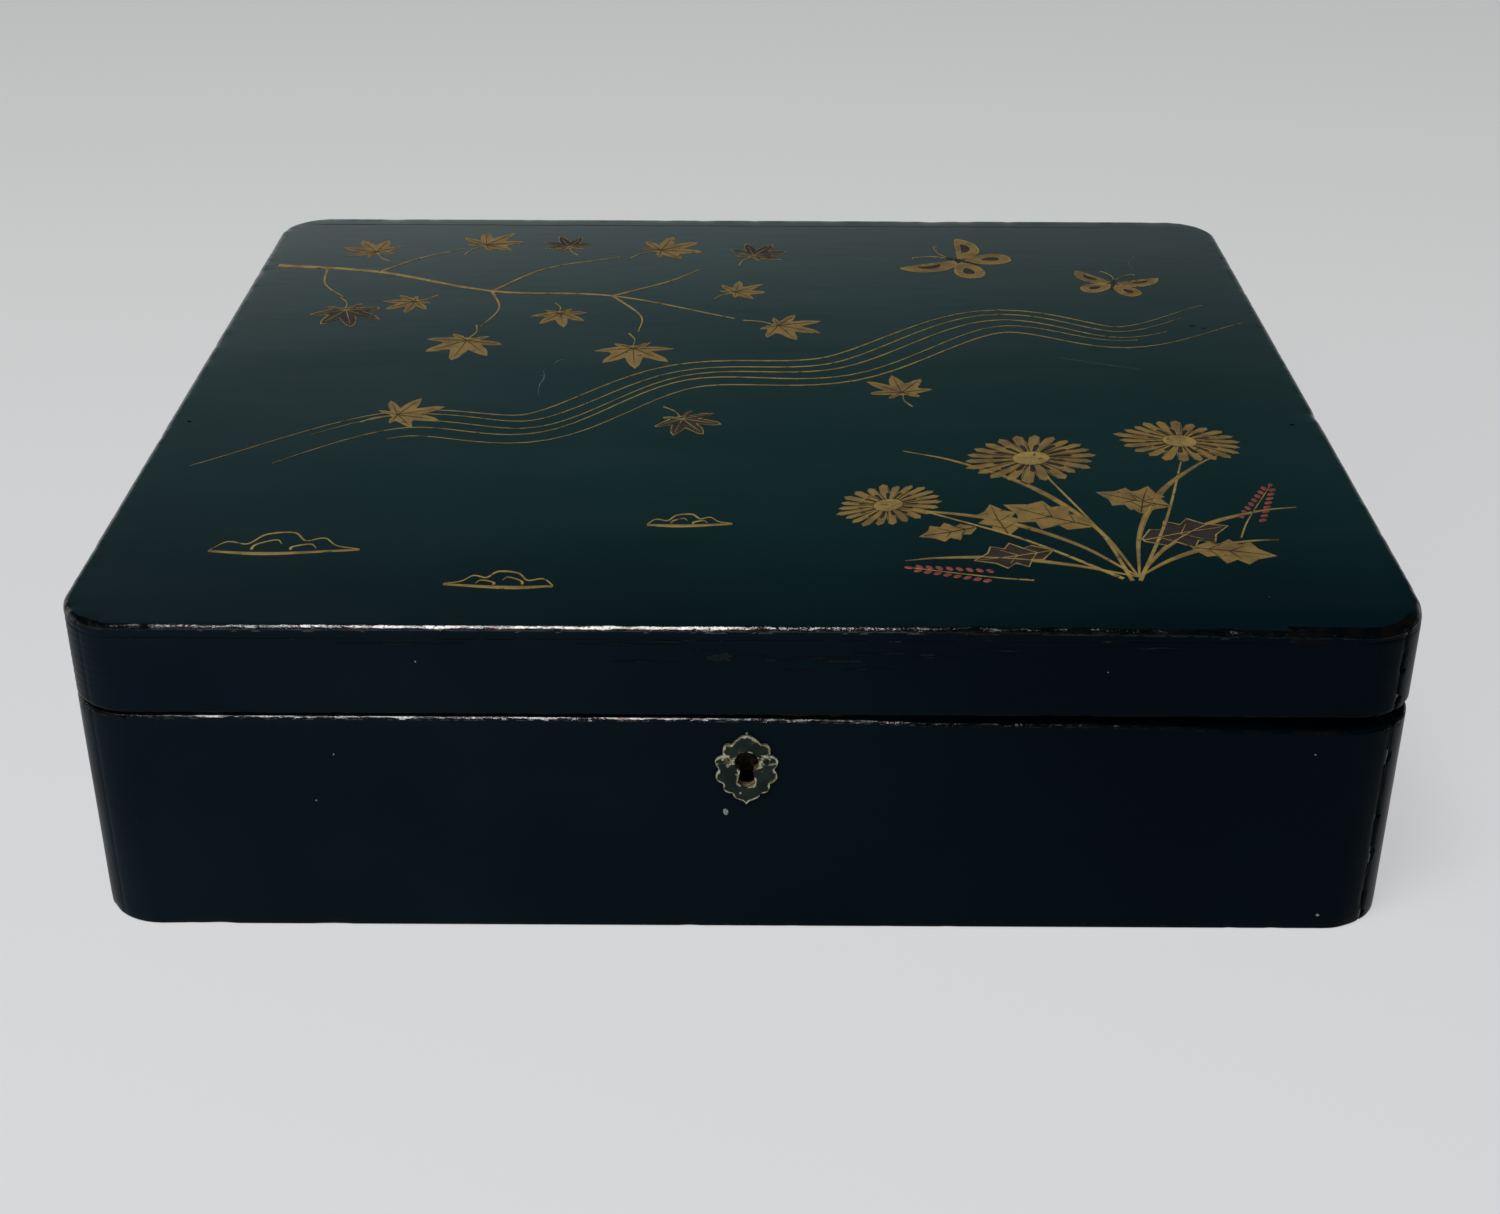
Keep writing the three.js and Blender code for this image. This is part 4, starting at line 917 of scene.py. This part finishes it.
class Relief:
    """Gathers flat closed shapes between two heights over a face into one mesh."""

    def __init__(self, low, high, place=on_top):
        self.low = low
        self.high = high
        self.place = place
        self.shapes = 0
        self.vertices = []
        self.faces = []

    def face_height(self):
        """The height of the next shape's face, a hair off its neighbours' so that no two lie in one plane."""
        self.shapes += 1
        return self.high - SHAPE_STEP * (self.shapes % 9)

    def layer(self, points, height):
        """Adds points at a height and gives back the number of the first."""
        first = len(self.vertices)
        self.vertices += [self.place(u, v, height) for u, v in points]
        return first

    def prism(self, points):
        """A closed flat shape inside an outline."""
        points = anticlockwise(points)
        count = len(points)
        under = self.layer(points, self.low)
        over = self.layer(points, self.face_height())
        self.faces.append(tuple(under + k for k in reversed(range(count))))
        self.faces.append(tuple(over + k for k in range(count)))
        for k in range(count):
            n = (k + 1) % count
            self.faces.append((under + k, under + n, over + n, over + k))

    def band(self, right, left, closed):
        """A closed strip between a right and a left line, joined into a loop or capped at its ends."""
        count = len(right)
        height = self.face_height()
        a, b = self.layer(right, self.low), self.layer(left, self.low)
        c, d = self.layer(right, height), self.layer(left, height)
        for k in range(count if closed else count - 1):
            n = (k + 1) % count
            self.faces.append((c + k, c + n, d + n, d + k))
            self.faces.append((a + k, b + k, b + n, a + n))
            self.faces.append((a + k, a + n, c + n, c + k))
            self.faces.append((b + n, b + k, d + k, d + n))
        if not closed:
            e = count - 1
            self.faces.append((a, c, d, b))
            self.faces.append((a + e, b + e, d + e, c + e))

    def ribbon(self, points, widths):
        """A line of changing width along points."""
        points = np.array(points, float)
        along = np.gradient(points, axis=0)
        along /= np.maximum(np.linalg.norm(along, axis=1, keepdims=True), 1e-9)
        side = np.stack([-along[:, 1], along[:, 0]], axis=1) * np.array(widths, float)[:, None] / 2
        self.band(points - side, points + side, False)

    def rim(self, points, width):
        """A line of about that width just inside a closed outline."""
        points = np.array(anticlockwise(points), float)
        middle = points.mean(axis=0)
        reach = np.linalg.norm(points - middle, axis=1, keepdims=True)
        inner = middle + (points - middle) * np.maximum(1 - width / np.maximum(reach, 1e-6), 0.2)
        self.band(points, inner, True)

    def dome(self, u, v, length, width, degrees):
        """A low oval bead."""
        sides = 10
        outline = oval(sides, length / 2, width / 2)
        rings = []
        for share, rise in ((1.0, 0.0), (0.8, 0.6), (0.45, 0.9)):
            points = placed(outline, u, v, degrees, share)
            rings.append(self.layer(points, self.low + (self.high - self.low) * rise))
        top = self.layer([(u, v)], self.high)
        for k in range(sides):
            n = (k + 1) % sides
            for a, b in zip(rings, rings[1:]):
                self.faces.append((a + k, a + n, b + n, b + k))
            self.faces.append((rings[-1] + k, rings[-1] + n, top))
        self.faces.append(tuple(rings[0] + k for k in reversed(range(sides))))

    def form(self, name):
        """The gathered shapes as one object."""
        return add_mesh(name, self.vertices, self.faces)

    def build(self, name, material, slot, body):
        """The gathered shapes as one finished piece that rides on a body."""
        piece = self.form(name)
        piece.data.materials.append(material)
        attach(piece, body)


def anticlockwise(points):
    """The points of an outline in anticlockwise order."""
    area = sum(x * b - a * y for (x, y), (a, b) in zip(points, [*points[1:], points[0]]))
    return list(points) if area > 0 else list(reversed(points))


def oval(sides, reach_x, reach_y):
    """The points of an oval round the origin."""
    turns = [k / sides * 2 * math.pi for k in range(sides)]
    return [(math.cos(turn) * reach_x, math.sin(turn) * reach_y) for turn in turns]


def placed(points, u, v, degrees, size=1.0):
    """Points of a drawing, turned, sized and moved to their place."""
    turn = math.radians(degrees)
    across, up = math.cos(turn) * size, math.sin(turn) * size
    return [(u + across * x - up * y, v + up * x + across * y) for x, y in points]


def smooth_line(points, steps=8):
    """A smooth line through a few points."""
    points = [np.array(p, float) for p in points]
    points = [2 * points[0] - points[1], *points, 2 * points[-1] - points[-2]]
    line = []
    for before, start, end, after in zip(points, points[1:], points[2:], points[3:]):
        for k in range(steps):
            t = k / steps
            curve = 2 * start + (end - before) * t + (2 * before - 5 * start + 4 * end - after) * t**2
            line.append(0.5 * (curve + (3 * start - before - 3 * end + after) * t**3))
    line.append(points[-2])
    return [tuple(p) for p in line]


def taper(count, root, middle, tip):
    """Widths along a stroke that swells or thins from its root by its middle to its tip."""
    curve = [(0, root), (0.45, middle), (1, tip)]
    return [follow(curve, k / (count - 1)) for k in range(count)]


# Damage and marks


def corner_crack():
    """Cutter for the open joint down the right front corner, with a few chips beside it."""
    seam_y = CORNER_LAP - HALF_DEPTH
    seam_x = STRAIGHT_X + math.sqrt(CORNER_RADIUS**2 - (CORNER_RADIUS - CORNER_LAP) ** 2)
    cutter = Relief(-CRACK_DEPTH, 3.0, lambda u, v, height: (seam_x + height, seam_y + u, v))
    steps = round((TOP_Z - CORNER_CRACK_FOOT) / CORNER_CRACK_STEP)
    heights = [CORNER_CRACK_FOOT + (TOP_Z - 2.0) * k / steps for k in range(steps + 1)]
    line = [(0.22 * grain(0, 0, z, 9, 5.1) + 0.18 * grain(0, 0, z, 2.5, 7.3), z) for z in heights]
    cutter.ribbon(line, [0.45 + 0.8 * abs(grain(0, 0, z, 7, 3.8)) for z in heights])
    for z, length in CORNER_CHIPS:
        chip = [(-0.1, -0.5), (0.75, -0.36), (1.15, 0.02), (0.8, 0.3), (-0.1, 0.5)]
        cutter.prism([(x * 1.2, z + y * length) for x, y in chip])
    return cutter.form("corner_crack")


def top_damage():
    """Cutter for the crack along the back of the top and for a few pits."""
    cutter = Relief(-CRACK_DEPTH, 0.5)
    steps = round((CRACK_END - CRACK_START) / CRACK_STEP)
    line = []
    widths = []
    for k in range(steps + 1):
        x = CRACK_START + (CRACK_END - CRACK_START) * k / steps
        y = HALF_DEPTH - WALL_THICKNESS + 0.25 * grain(x, 0, 0, 9, 2.6) + 0.2 * grain(x, 0, 0, 40, 1.1)
        line.append((x, y))
        fade = min(1.0, (CRACK_END - x) / 40 + 0.1, (x - CRACK_START) / 8 + 0.3)
        widths.append(CRACK_WIDTH * fade * (0.7 + 0.6 * abs(grain(x, 0, 0, 6, 4.2))))
    cutter.ribbon(line, widths)
    for x, y, length, width in TOP_PITS:
        cutter.prism(placed(oval(10, length / 2, width / 2), x, y, 4))
    return cutter.form("top_damage")


def add_top_scratches():
    """Dusty scratches and spots on the top."""
    marks = Relief(TOP_BED, 0.012)
    for path, width in SCRATCHES:
        line = smooth_line(path, 6)
        marks.ribbon(line, taper(len(line), 0.1, width, 0.06))
    for x, y, size in SCRATCH_SPOTS:
        marks.dome(x, y, size, size * 0.6, 50 * grain(x, y, 0, 7))
    marks.build("top_scratches", mark_finish("scratch_dust", (0.16, 0.20, 0.20)), "black_lacquer", "lid")


def add_front_cracks():
    """Cracks drawn as dark lines of painted shade, a painted highlight along the lower edge of each, and
    flaked stains on the lid's front.
    """
    cracks = Relief(FRONT_BED, 0.0, on_front)
    flakes_and_crack_highlights = Relief(FRONT_BED, 0.02, on_front)
    stains = Relief(FRONT_BED, 0.0, on_front)
    for x, z, length in FRONT_CRACKS:
        count = max(4, round(length / 1.2))
        line = []
        for k in range(count + 1):
            u = x + length * k / count
            line.append((u, z + 0.5 * grain(u, z, 0, 5, 3.3) + 0.25 * grain(u, z, 0, 1.7, 6.1)))
        cracks.ribbon(line, taper(len(line), 0.05, 0.28, 0.05))
        # A lighter line just below each crack: a painted highlight on its lower edge.
        lit_crack_edge = line[count // 3 : count // 3 + max(2, count // 3)]
        flakes_and_crack_highlights.ribbon([(u, v - 0.22) for u, v in lit_crack_edge], taper(len(lit_crack_edge), 0.05, 0.16, 0.04))
    for x, z, length, height in FRONT_FLAKES:
        outline = []
        for k, (across, up) in enumerate(oval(22, length, height)):
            reach = 0.5 * (1 + 0.8 * grain(x + 1.7 * k, z, 0, 2.3))
            outline.append((x + reach * across, z + reach * up))
        stains.prism(outline)
    for marks, name, finish, colour in (
        (cracks, "lid_front_cracks", "crack_shadow", (0.002, 0.002, 0.003)),
        (flakes_and_crack_highlights, "lid_front_crack_highlights", "painted_crack_highlight", (0.012, 0.021, 0.020)),
        (stains, "lid_front_stains", "olive_ground", (0.0055, 0.0125, 0.0105)),
    ):
        marks.build(name, mark_finish(finish, colour), "black_lacquer", "lid")


def add_front_specks():
    """Pale chips on the front of lid and base."""
    specks = {"lid": Relief(FRONT_BED, 0.02, on_front), "base": Relief(FRONT_BED, 0.02, on_front)}
    specks["base"].prism(BASE_CHIP)
    specks["base"].prism([(x, KEYHOLE_PLATE[1].z + z) for x, z in PLATE_CHIP])
    dot = [(-0.5, -0.1), (0.1, -0.5), (0.5, 0.2), (-0.2, 0.5)]
    for x, z, size in FRONT_SPECKS:
        specks["lid" if z > LID_Z else "base"].prism(placed(dot, x, z, 90 * grain(x, z, 0, 3), size))
    bare_ground = mark_finish("bare_ground", (0.34, 0.38, 0.33))
    for body, marks in specks.items():
        marks.build(f"{body}_front_specks", bare_ground, "black_lacquer", body)


# The lid's design: traditional motifs, sizes in millimetres and angles in degrees

MAPLE_LOBES = [(-128, 0.46), (-84, 0.74), (-41, 0.93), (0, 1.0), (41, 0.93), (84, 0.74), (128, 0.46)]
MAPLE_EDGE = [(-20.5, 0.50), (-12, 0.66), (-6.5, 0.84), (0, 1.0), (6.5, 0.84), (12, 0.66)]
PETAL = [(0.3, -0.035), (0.62, -0.085), (0.9, -0.085), (1.0, 0), (0.9, 0.085), (0.62, 0.085), (0.3, 0.035)]
LEAF_HALF = [(0.18, 0.20), (0.30, 0.15), (0.42, 0.33), (0.54, 0.20), (0.68, 0.30), (0.78, 0.14)]
FORE_WING = [(0.05, 0.06), (0.3, 0.42), (0.62, 0.92), (0.5, 1.0), (0.2, 0.93), (-0.08, 0.62), (-0.12, 0.24)]
HIND_WING = [
    (-0.1, 0.05), (-0.12, 0.3), (-0.3, 0.62), (-0.56, 0.72), (-0.78, 0.55), (-0.72, 0.28), (-0.42, 0.06),
]
CLOUD = [
    (-0.5, 0.0), (-0.40, 0.13), (-0.26, 0.10), (-0.16, 0.24), (0.02, 0.27),
    (0.12, 0.15), (0.24, 0.19), (0.34, 0.08), (0.5, 0.03),
]

# Powders of the design: bright tone, worn tone, the ground under it, how far it covers, and specular level
LACQUER_UNDER = (0.004, 0.012, 0.013)
POWDERS = {
    "gold_powder": ((0.42, 0.27, 0.072), (0.25, 0.155, 0.052), LACQUER_UNDER, 0.63, 0.5),
    "silver_powder": ((0.056, 0.041, 0.033), (0.028, 0.023, 0.021), LACQUER_UNDER, 0.72, 0.15),
    "gold_line": ((0.60, 0.42, 0.115), (0.33, 0.21, 0.062), LACQUER_UNDER, 0.60, 0.5),
    "dark_line": ((0.060, 0.040, 0.018), (0.030, 0.022, 0.012), LACQUER_UNDER, 0.75, 0.2),
    "coral_lacquer": ((0.42, 0.085, 0.060), (0.25, 0.055, 0.045), (0.30, 0.16, 0.10), 0.66, 0.5),
}


class Design:
    """The lid's design, drawn in layers of different sprinkled powders."""

    def __init__(self):
        self.gold = Relief(TOP_BED, 0.07)
        self.silver = Relief(TOP_BED, 0.09)
        self.line = Relief(TOP_BED, 0.12)
        self.dark = Relief(TOP_BED, 0.14)
        self.coral = Relief(TOP_BED, 0.19)

    def stroke(self, points, root, middle, tip, layer=None):
        """A tapered brush stroke through a few points."""
        line = smooth_line(points)
        (layer or self.line).ribbon(line, taper(len(line), root, middle, tip))

    def fill(self, outline, tarnished, rim_width):
        """A filled shape: plain gold, or tarnished silver in a gold line. Gives back its veins' layer."""
        if not tarnished:
            self.gold.prism(outline)
            return self.dark
        self.silver.prism(outline)
        self.line.rim(outline, rim_width)
        return self.line

    def maple(self, u, v, size, degrees, tarnished=False):
        """A seven-lobed maple leaf with its veins and stalk."""
        spot = (u, v, degrees, size)
        outline = []
        for turn, length in MAPLE_LOBES:
            for spread, share in MAPLE_EDGE:
                a = math.radians(turn + spread)
                reach = share * length * (1 + 0.12 * grain(u, v, turn + spread, 1.7))
                outline.append((math.cos(a) * reach, math.sin(a) * reach))
        outline += [(-0.14, 0.10), (-0.14, -0.10)]
        veins = self.fill(placed(outline, *spot), tarnished, 0.45)
        for turn, length in MAPLE_LOBES:
            x, y = placed([(0.8 * length, 0)], 0, 0, turn)[0]
            veins.ribbon(placed([(0, 0), (x / 2, y / 2), (x, y)], *spot), [0.3, 0.24, 0.12])
        self.stroke(placed([(-0.1, 0), (-0.45, 0.05), (-0.8, -0.05)], *spot), 0.35, 0.3, 0.45)

    def chrysanthemum(self, u, v, size, degrees, squeeze):
        """A double bloom seen a little from the side, as two rings of petals round a button."""
        for ring, count, reach in ((0, 22, 1.0), (1, 15, 0.64)):
            for k in range(count):
                length = size * reach * (1 + 0.16 * grain(u + 3 * k, v, ring * 7.0, 1.9))
                petal = placed(PETAL, 0, 0, 360 * (k + 0.5 * ring) / count, length)
                petal = placed([(x, y * squeeze) for x, y in petal], u, v, degrees)
                self.fill(petal, ring == 1, 0.3)
                if ring == 0:
                    self.dark.ribbon([petal[0], petal[2]], [0.14, 0.2])
        self.line.prism(placed(oval(17, 0.28, 0.28 * squeeze), u, v, degrees, size))
        for k in range(9):
            spot = (math.cos(2.4 * k) * 0.075 * k**0.5, math.sin(2.4 * k) * 0.075 * k**0.5 * squeeze)
            self.dark.dome(*placed([spot], u, v, degrees, size)[0], 0.8, 0.8, 0)

    def notched_leaf(self, u, v, size, degrees, tarnished=False):
        """A broad notched leaf with its veins, growing from its foot."""
        spot = (u, v, degrees, size)
        outline = [(0, -0.03), *[(x, -y) for x, y in LEAF_HALF], (1, 0), *reversed(LEAF_HALF), (0, 0.03)]
        veins = self.fill(placed(outline, *spot), tarnished, 0.45)
        veins.ribbon(placed([(0.02, 0), (0.5, 0.02), (0.92, 0)], *spot), [0.4, 0.3, 0.12])
        for x, y in ((0.35, 0.2), (0.6, 0.18), (0.35, -0.2), (0.6, -0.18)):
            veins.ribbon(placed([(x - 0.16, 0), (x, y)], *spot), [0.26, 0.12])

    def butterfly(self, u, v, size, degrees):
        """A butterfly seen from above, with tarnished patches in its wings."""
        spot = (u, v, degrees, size)
        for side in (1, -1):
            for wing, (x, y) in ((FORE_WING, (0.24, 0.62)), (HIND_WING, (-0.46, 0.42))):
                drawn = smooth_line([*wing, wing[0]], 4)[:-1]
                patch = [(x + (a - x) * 0.45, y + (b - y) * 0.45) for a, b in drawn]
                for shape, tarnished in ((drawn, False), (patch, True)):
                    outline = placed([(a, side * b) for a, b in shape], *spot)
                    self.fill(outline, tarnished, 0.3)
                    if not tarnished:
                        self.line.rim(outline, 0.5)
            feeler = [(0.25, side * 0.02), (0.5, side * 0.12), (0.72, side * 0.34), (0.70, side * 0.42)]
            self.stroke(placed(feeler, *spot), 0.3, 0.26, 0.4)
        body = placed([(-0.40, 0), (-0.1, 0), (0.1, 0), (0.28, 0)], *spot)
        self.stroke(body, 0.05 * size, 0.1 * size, 0.03 * size, self.dark)

    def grass(self, u, v, blades):
        """A tuft of arching blades, each given by its lean, its length and its bend."""
        for lean, length, bend in blades:
            points = []
            for share in (0, 0.3, 0.6, 0.85, 1.0):
                turn = math.radians(lean + bend * share**1.5)
                points.append((u + length * share * math.cos(turn), v + length * share * math.sin(turn)))
            self.stroke(points, 0.6, 2.0, 0.1, self.gold)
            self.stroke(points, 0.3, 0.4, 0.1)

    def berries(self, u, v, size, degrees):
        """A spray of coral beads in rows up a stalk."""
        spot = (u, v, degrees, size)
        self.stroke(placed([(-0.5, 0), (0, 0.03), (1, 0)], *spot), 0.5, 0.4, 0.2)
        for k in range(8):
            for side in (1, -1):
                bead = (0.06 + 0.125 * k, side * 0.13 * (1 - 0.7 * k / 8))
                self.coral.dome(*placed([bead], *spot)[0], 2.7, 1.7, degrees + side * 38)
        self.coral.dome(*placed([(1.06, 0)], *spot)[0], 2.6, 1.4, degrees)

    def stream(self, path, spacing, count):
        """Flowing water as a few thin lines beside each other, each wavering by itself."""
        line = np.array(smooth_line(path, 10))
        along = np.gradient(line, axis=0)
        along /= np.linalg.norm(along, axis=1, keepdims=True)
        side = np.stack([-along[:, 1], along[:, 0]], axis=1)
        for k in range(count):
            waver = np.array([3.0 * grain(0.8 * i, 9.0 * k, 0, 14) for i in range(len(line))])
            start, end = 3 * ((k * 5) % 4), len(line) - 3 * ((k * 7) % 5)
            drawn = (line + side * ((k - count / 2) * spacing + waver)[:, None])[start:end]
            self.line.ribbon(drawn, taper(len(drawn), 0.12, 0.5, 0.12))

    def cloud(self, u, v, length, turned):
        """A small cloud: a scalloped gold line over a filled foot that thins out to one side."""
        foot = [(-0.5, 0), (-0.1, -0.04), (0.5, 0.03)]
        curls = []
        for (a, b), (x, y) in (((-0.22, 0.02), (-0.08, 0.16)), ((0.04, 0.02), (0.16, 0.10))):
            curls.append([(a, b), ((a + x) / 2 - 0.05, (b + y) / 2), (x, y), (x + 0.05, y - 0.06)])
        turned_shapes = [[(x * turned, y) for x, y in shape] for shape in (CLOUD, foot, *curls)]
        back, foot, *curls = [placed(shape, u, v, 0, length) for shape in turned_shapes]
        self.stroke(back, 0.25, 0.6, 0.2)
        self.stroke(foot, 0.3, 1.7, 0.3, self.gold)
        self.stroke([(x, y - 0.6) for x, y in foot], 0.15, 0.4, 0.15)
        for curl in curls:
            self.stroke(curl, 0.7, 0.5, 0.15)

    def build(self):
        """Every layer as a piece of its own in its own powder."""
        for layer, name, powder in (
            (self.gold, "design_gold", "gold_powder"),
            (self.silver, "design_silver", "silver_powder"),
            (self.line, "design_gold_lines", "gold_line"),
            (self.dark, "design_dark_lines", "dark_line"),
            (self.coral, "design_coral_berries", "coral_lacquer"),
        ):
            layer.build(name, powder_finish(powder, *POWDERS[powder]), "gold_lacquer", "lid")


def draw_maple_branch(design):
    """A maple branch that comes in over the back left corner, with fallen leaves below it."""
    design.stroke([(-159, 100), (-124, 94), (-84, 76), (-44, 72), (-4, 52)], 2.2, 1.3, 0.3)
    for twig in (
        [(-124, 94), (-112, 108), (-98, 118)],
        [(-84, 76), (-68, 98), (-44, 110)],
        [(-84, 76), (-80, 60), (-84, 44)],
        [(-44, 72), (-26, 86), (-16, 98)],
        [(-44, 72), (-34, 54), (-34, 40)],
        [(-142, 98), (-140, 82), (-132, 70)],
    ):
        design.stroke(twig, 1.0, 0.6, 0.25)
    for leaf in (
        (-128, 114, 14.0, 120), (-91, 122, 15.0, 55), (-129, 58, 15.5, -75, True),
        (-62, 120, 11.5, 110, True), (-30, 117, 16.0, 35), (-87, 32, 16.5, -100),
        (-108, 66, 11.5, -140), (-60, 56, 12.0, -80), (2, 112, 13.5, 60, True),
        (-35, 26, 16.0, -85), (10, 46, 15.0, -25), (-4, 76, 11.5, 40),
        (-100, -26, 14.0, 25), (-18, -28, 13.0, -60, True), (46, -8, 13.5, 100),
    ):
        design.maple(*leaf)


def draw_flower_bank(design):
    """Chrysanthemums, grasses and berries that grow from the front right."""
    for stem in (
        [(96, -126), (92, -100), (82, -66)],
        [(98, -126), (110, -92), (120, -56)],
        [(94, -125), (72, -104), (48, -88)],
    ):
        design.stroke(stem, 1.1, 0.8, 0.5)
    blades = [(100, 92, 26), (122, 76, 30), (84, 84, -20), (48, 44, -20), (156, 58, 16), (64, 62, -24)]
    design.grass(98, -124, blades)
    for leaf in (
        (90, -96, 25, 150), (102, -104, 25, 20, True), (112, -84, 20, 155), (78, -110, 21, 196, True),
        (114, -108, 21, -12), (68, -101, 18, 100), (104, -88, 17, 75), (60, -97, 16, -160),
    ):
        design.notched_leaf(*leaf)
    for bloom in ((79, -54, 19.0, 20, 0.78), (122, -42, 17.0, -15, 0.8), (38, -84, 15.0, 35, 0.74)):
        design.chrysanthemum(*bloom)
    design.berries(132, -92, 22, 66)
    design.berries(62, -124, 20, 168)


def draw_lid_design():
    """The whole design of the lid's top."""
    design = Design()
    draw_maple_branch(design)
    bends = [(154, 56), (118, 36), (78, 48), (30, 8), (-18, 2), (-58, -36), (-100, -34), (-144, -70)]
    design.stream(bends, 4.6, 5)
    draw_flower_bank(design)
    design.butterfly(72, 108, 19, 145)
    design.butterfly(122, 86, 14, 75)
    for cloud in ((-116, -112, 38, 1), (-60, -130, 27, -1), (-14, -96, 22, 1)):
        design.cloud(*cloud)
    design.build()


# Metalwork


def make_keyhole_plate():
    """The keyhole plate with softened, rubbed edges."""
    piece = node_copy("keyhole_plate", "escutcheon")
    mesh = piece.data
    work = bmesh.new()
    work.from_mesh(mesh)
    bmesh.ops.dissolve_limit(
        work, angle_limit=math.radians(1), verts=work.verts, edges=work.edges, use_dissolve_boundaries=False
    )
    bmesh.ops.triangulate(work, faces=work.faces)
    front = [f for f in work.faces if f.normal.y < -0.9]
    bmesh.ops.inset_region(work, faces=front, thickness=PLATE_RUB_WIDTH * MM, depth=0.0, use_even_offset=True)
    wear = work.verts.layers.float.new("edge_wear")
    for vertex in work.verts:
        in_face = abs(vertex.co.y - KEYHOLE_PLATE[0].y * MM) < 0.01 * MM
        flat = all(f.normal.y < -0.9 for f in vertex.link_faces)
        at_hole = in_plate(vertex.co.x / MM, vertex.co.z / MM, PLATE_HOLE_MARGIN)
        vertex[wear] = 0.0 if in_face and flat else 0.6 if at_hole else 1.0
        if in_face and not flat:
            vertex.co.y += PLATE_RUB_DEPTH * MM
    work.to_mesh(mesh)
    work.free()
    mesh.materials.append(plate_finish())
    mesh.shade_smooth()
    mesh.set_sharp_from_angle(angle=math.radians(PLATE_SHARP_DEGREES))
    dress(piece, "base", "dark_brass", "escutcheon")


def finish_nodes(inner):
    """The CAD nodes that keep their shape get their finish; the lock's parts get blackened brass that is also
    painted shade behind the keyhole.
    """
    brass = brass_finish("aged_brass", (0.50, 0.37, 0.16), (0.22, 0.16, 0.075), 0.08, 0.3, 0.48)
    # Blackened brass: tarnish, and for the lock's parts seen through the keyhole and the lid's gap, painted
    # shade.
    blackened_and_shaded_brass = brass_finish("blackened_brass_and_painted_shade", (0.12, 0.09, 0.045), (0.022, 0.020, 0.014), 0.16, 0.4, 0.6)
    steel = steel_finish()
    kinds = [
        ("lip_", inner),
        ("hinge_", brass),
        ("lock_bolt", steel),
        ("lock_guide_pin", steel),
        ("lock_", blackened_and_shaded_brass),
        ("strike_", brass),
        ("escutcheon_pin", blackened_and_shaded_brass),
    ]
    for name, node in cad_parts.items():
        if node.hide_render:
            continue
        material = next(m for start, m in kinds if name.startswith(start))
        node.data.materials.clear()
        node.data.materials.append(material)


bpy.context.scene.view_settings.view_transform = "Standard"
add_camera()
add_world()
add_floor()
add_lamp("overhead_left", (-0.19, -0.45, 1.15), (0, 0, 0.05), (0.36, 0.4), 7.4, True)
add_lamp("front_fill", (-0.9, -1.2, 0.9), (0, 0, 0.04), (1.2, 1.0), 8.0, False)
inner_lacquer = inner_finish()
make_boards(inner_lacquer)
add_top_scratches()
add_front_cracks()
add_front_specks()
draw_lid_design()
make_keyhole_plate()
finish_nodes(inner_lacquer)
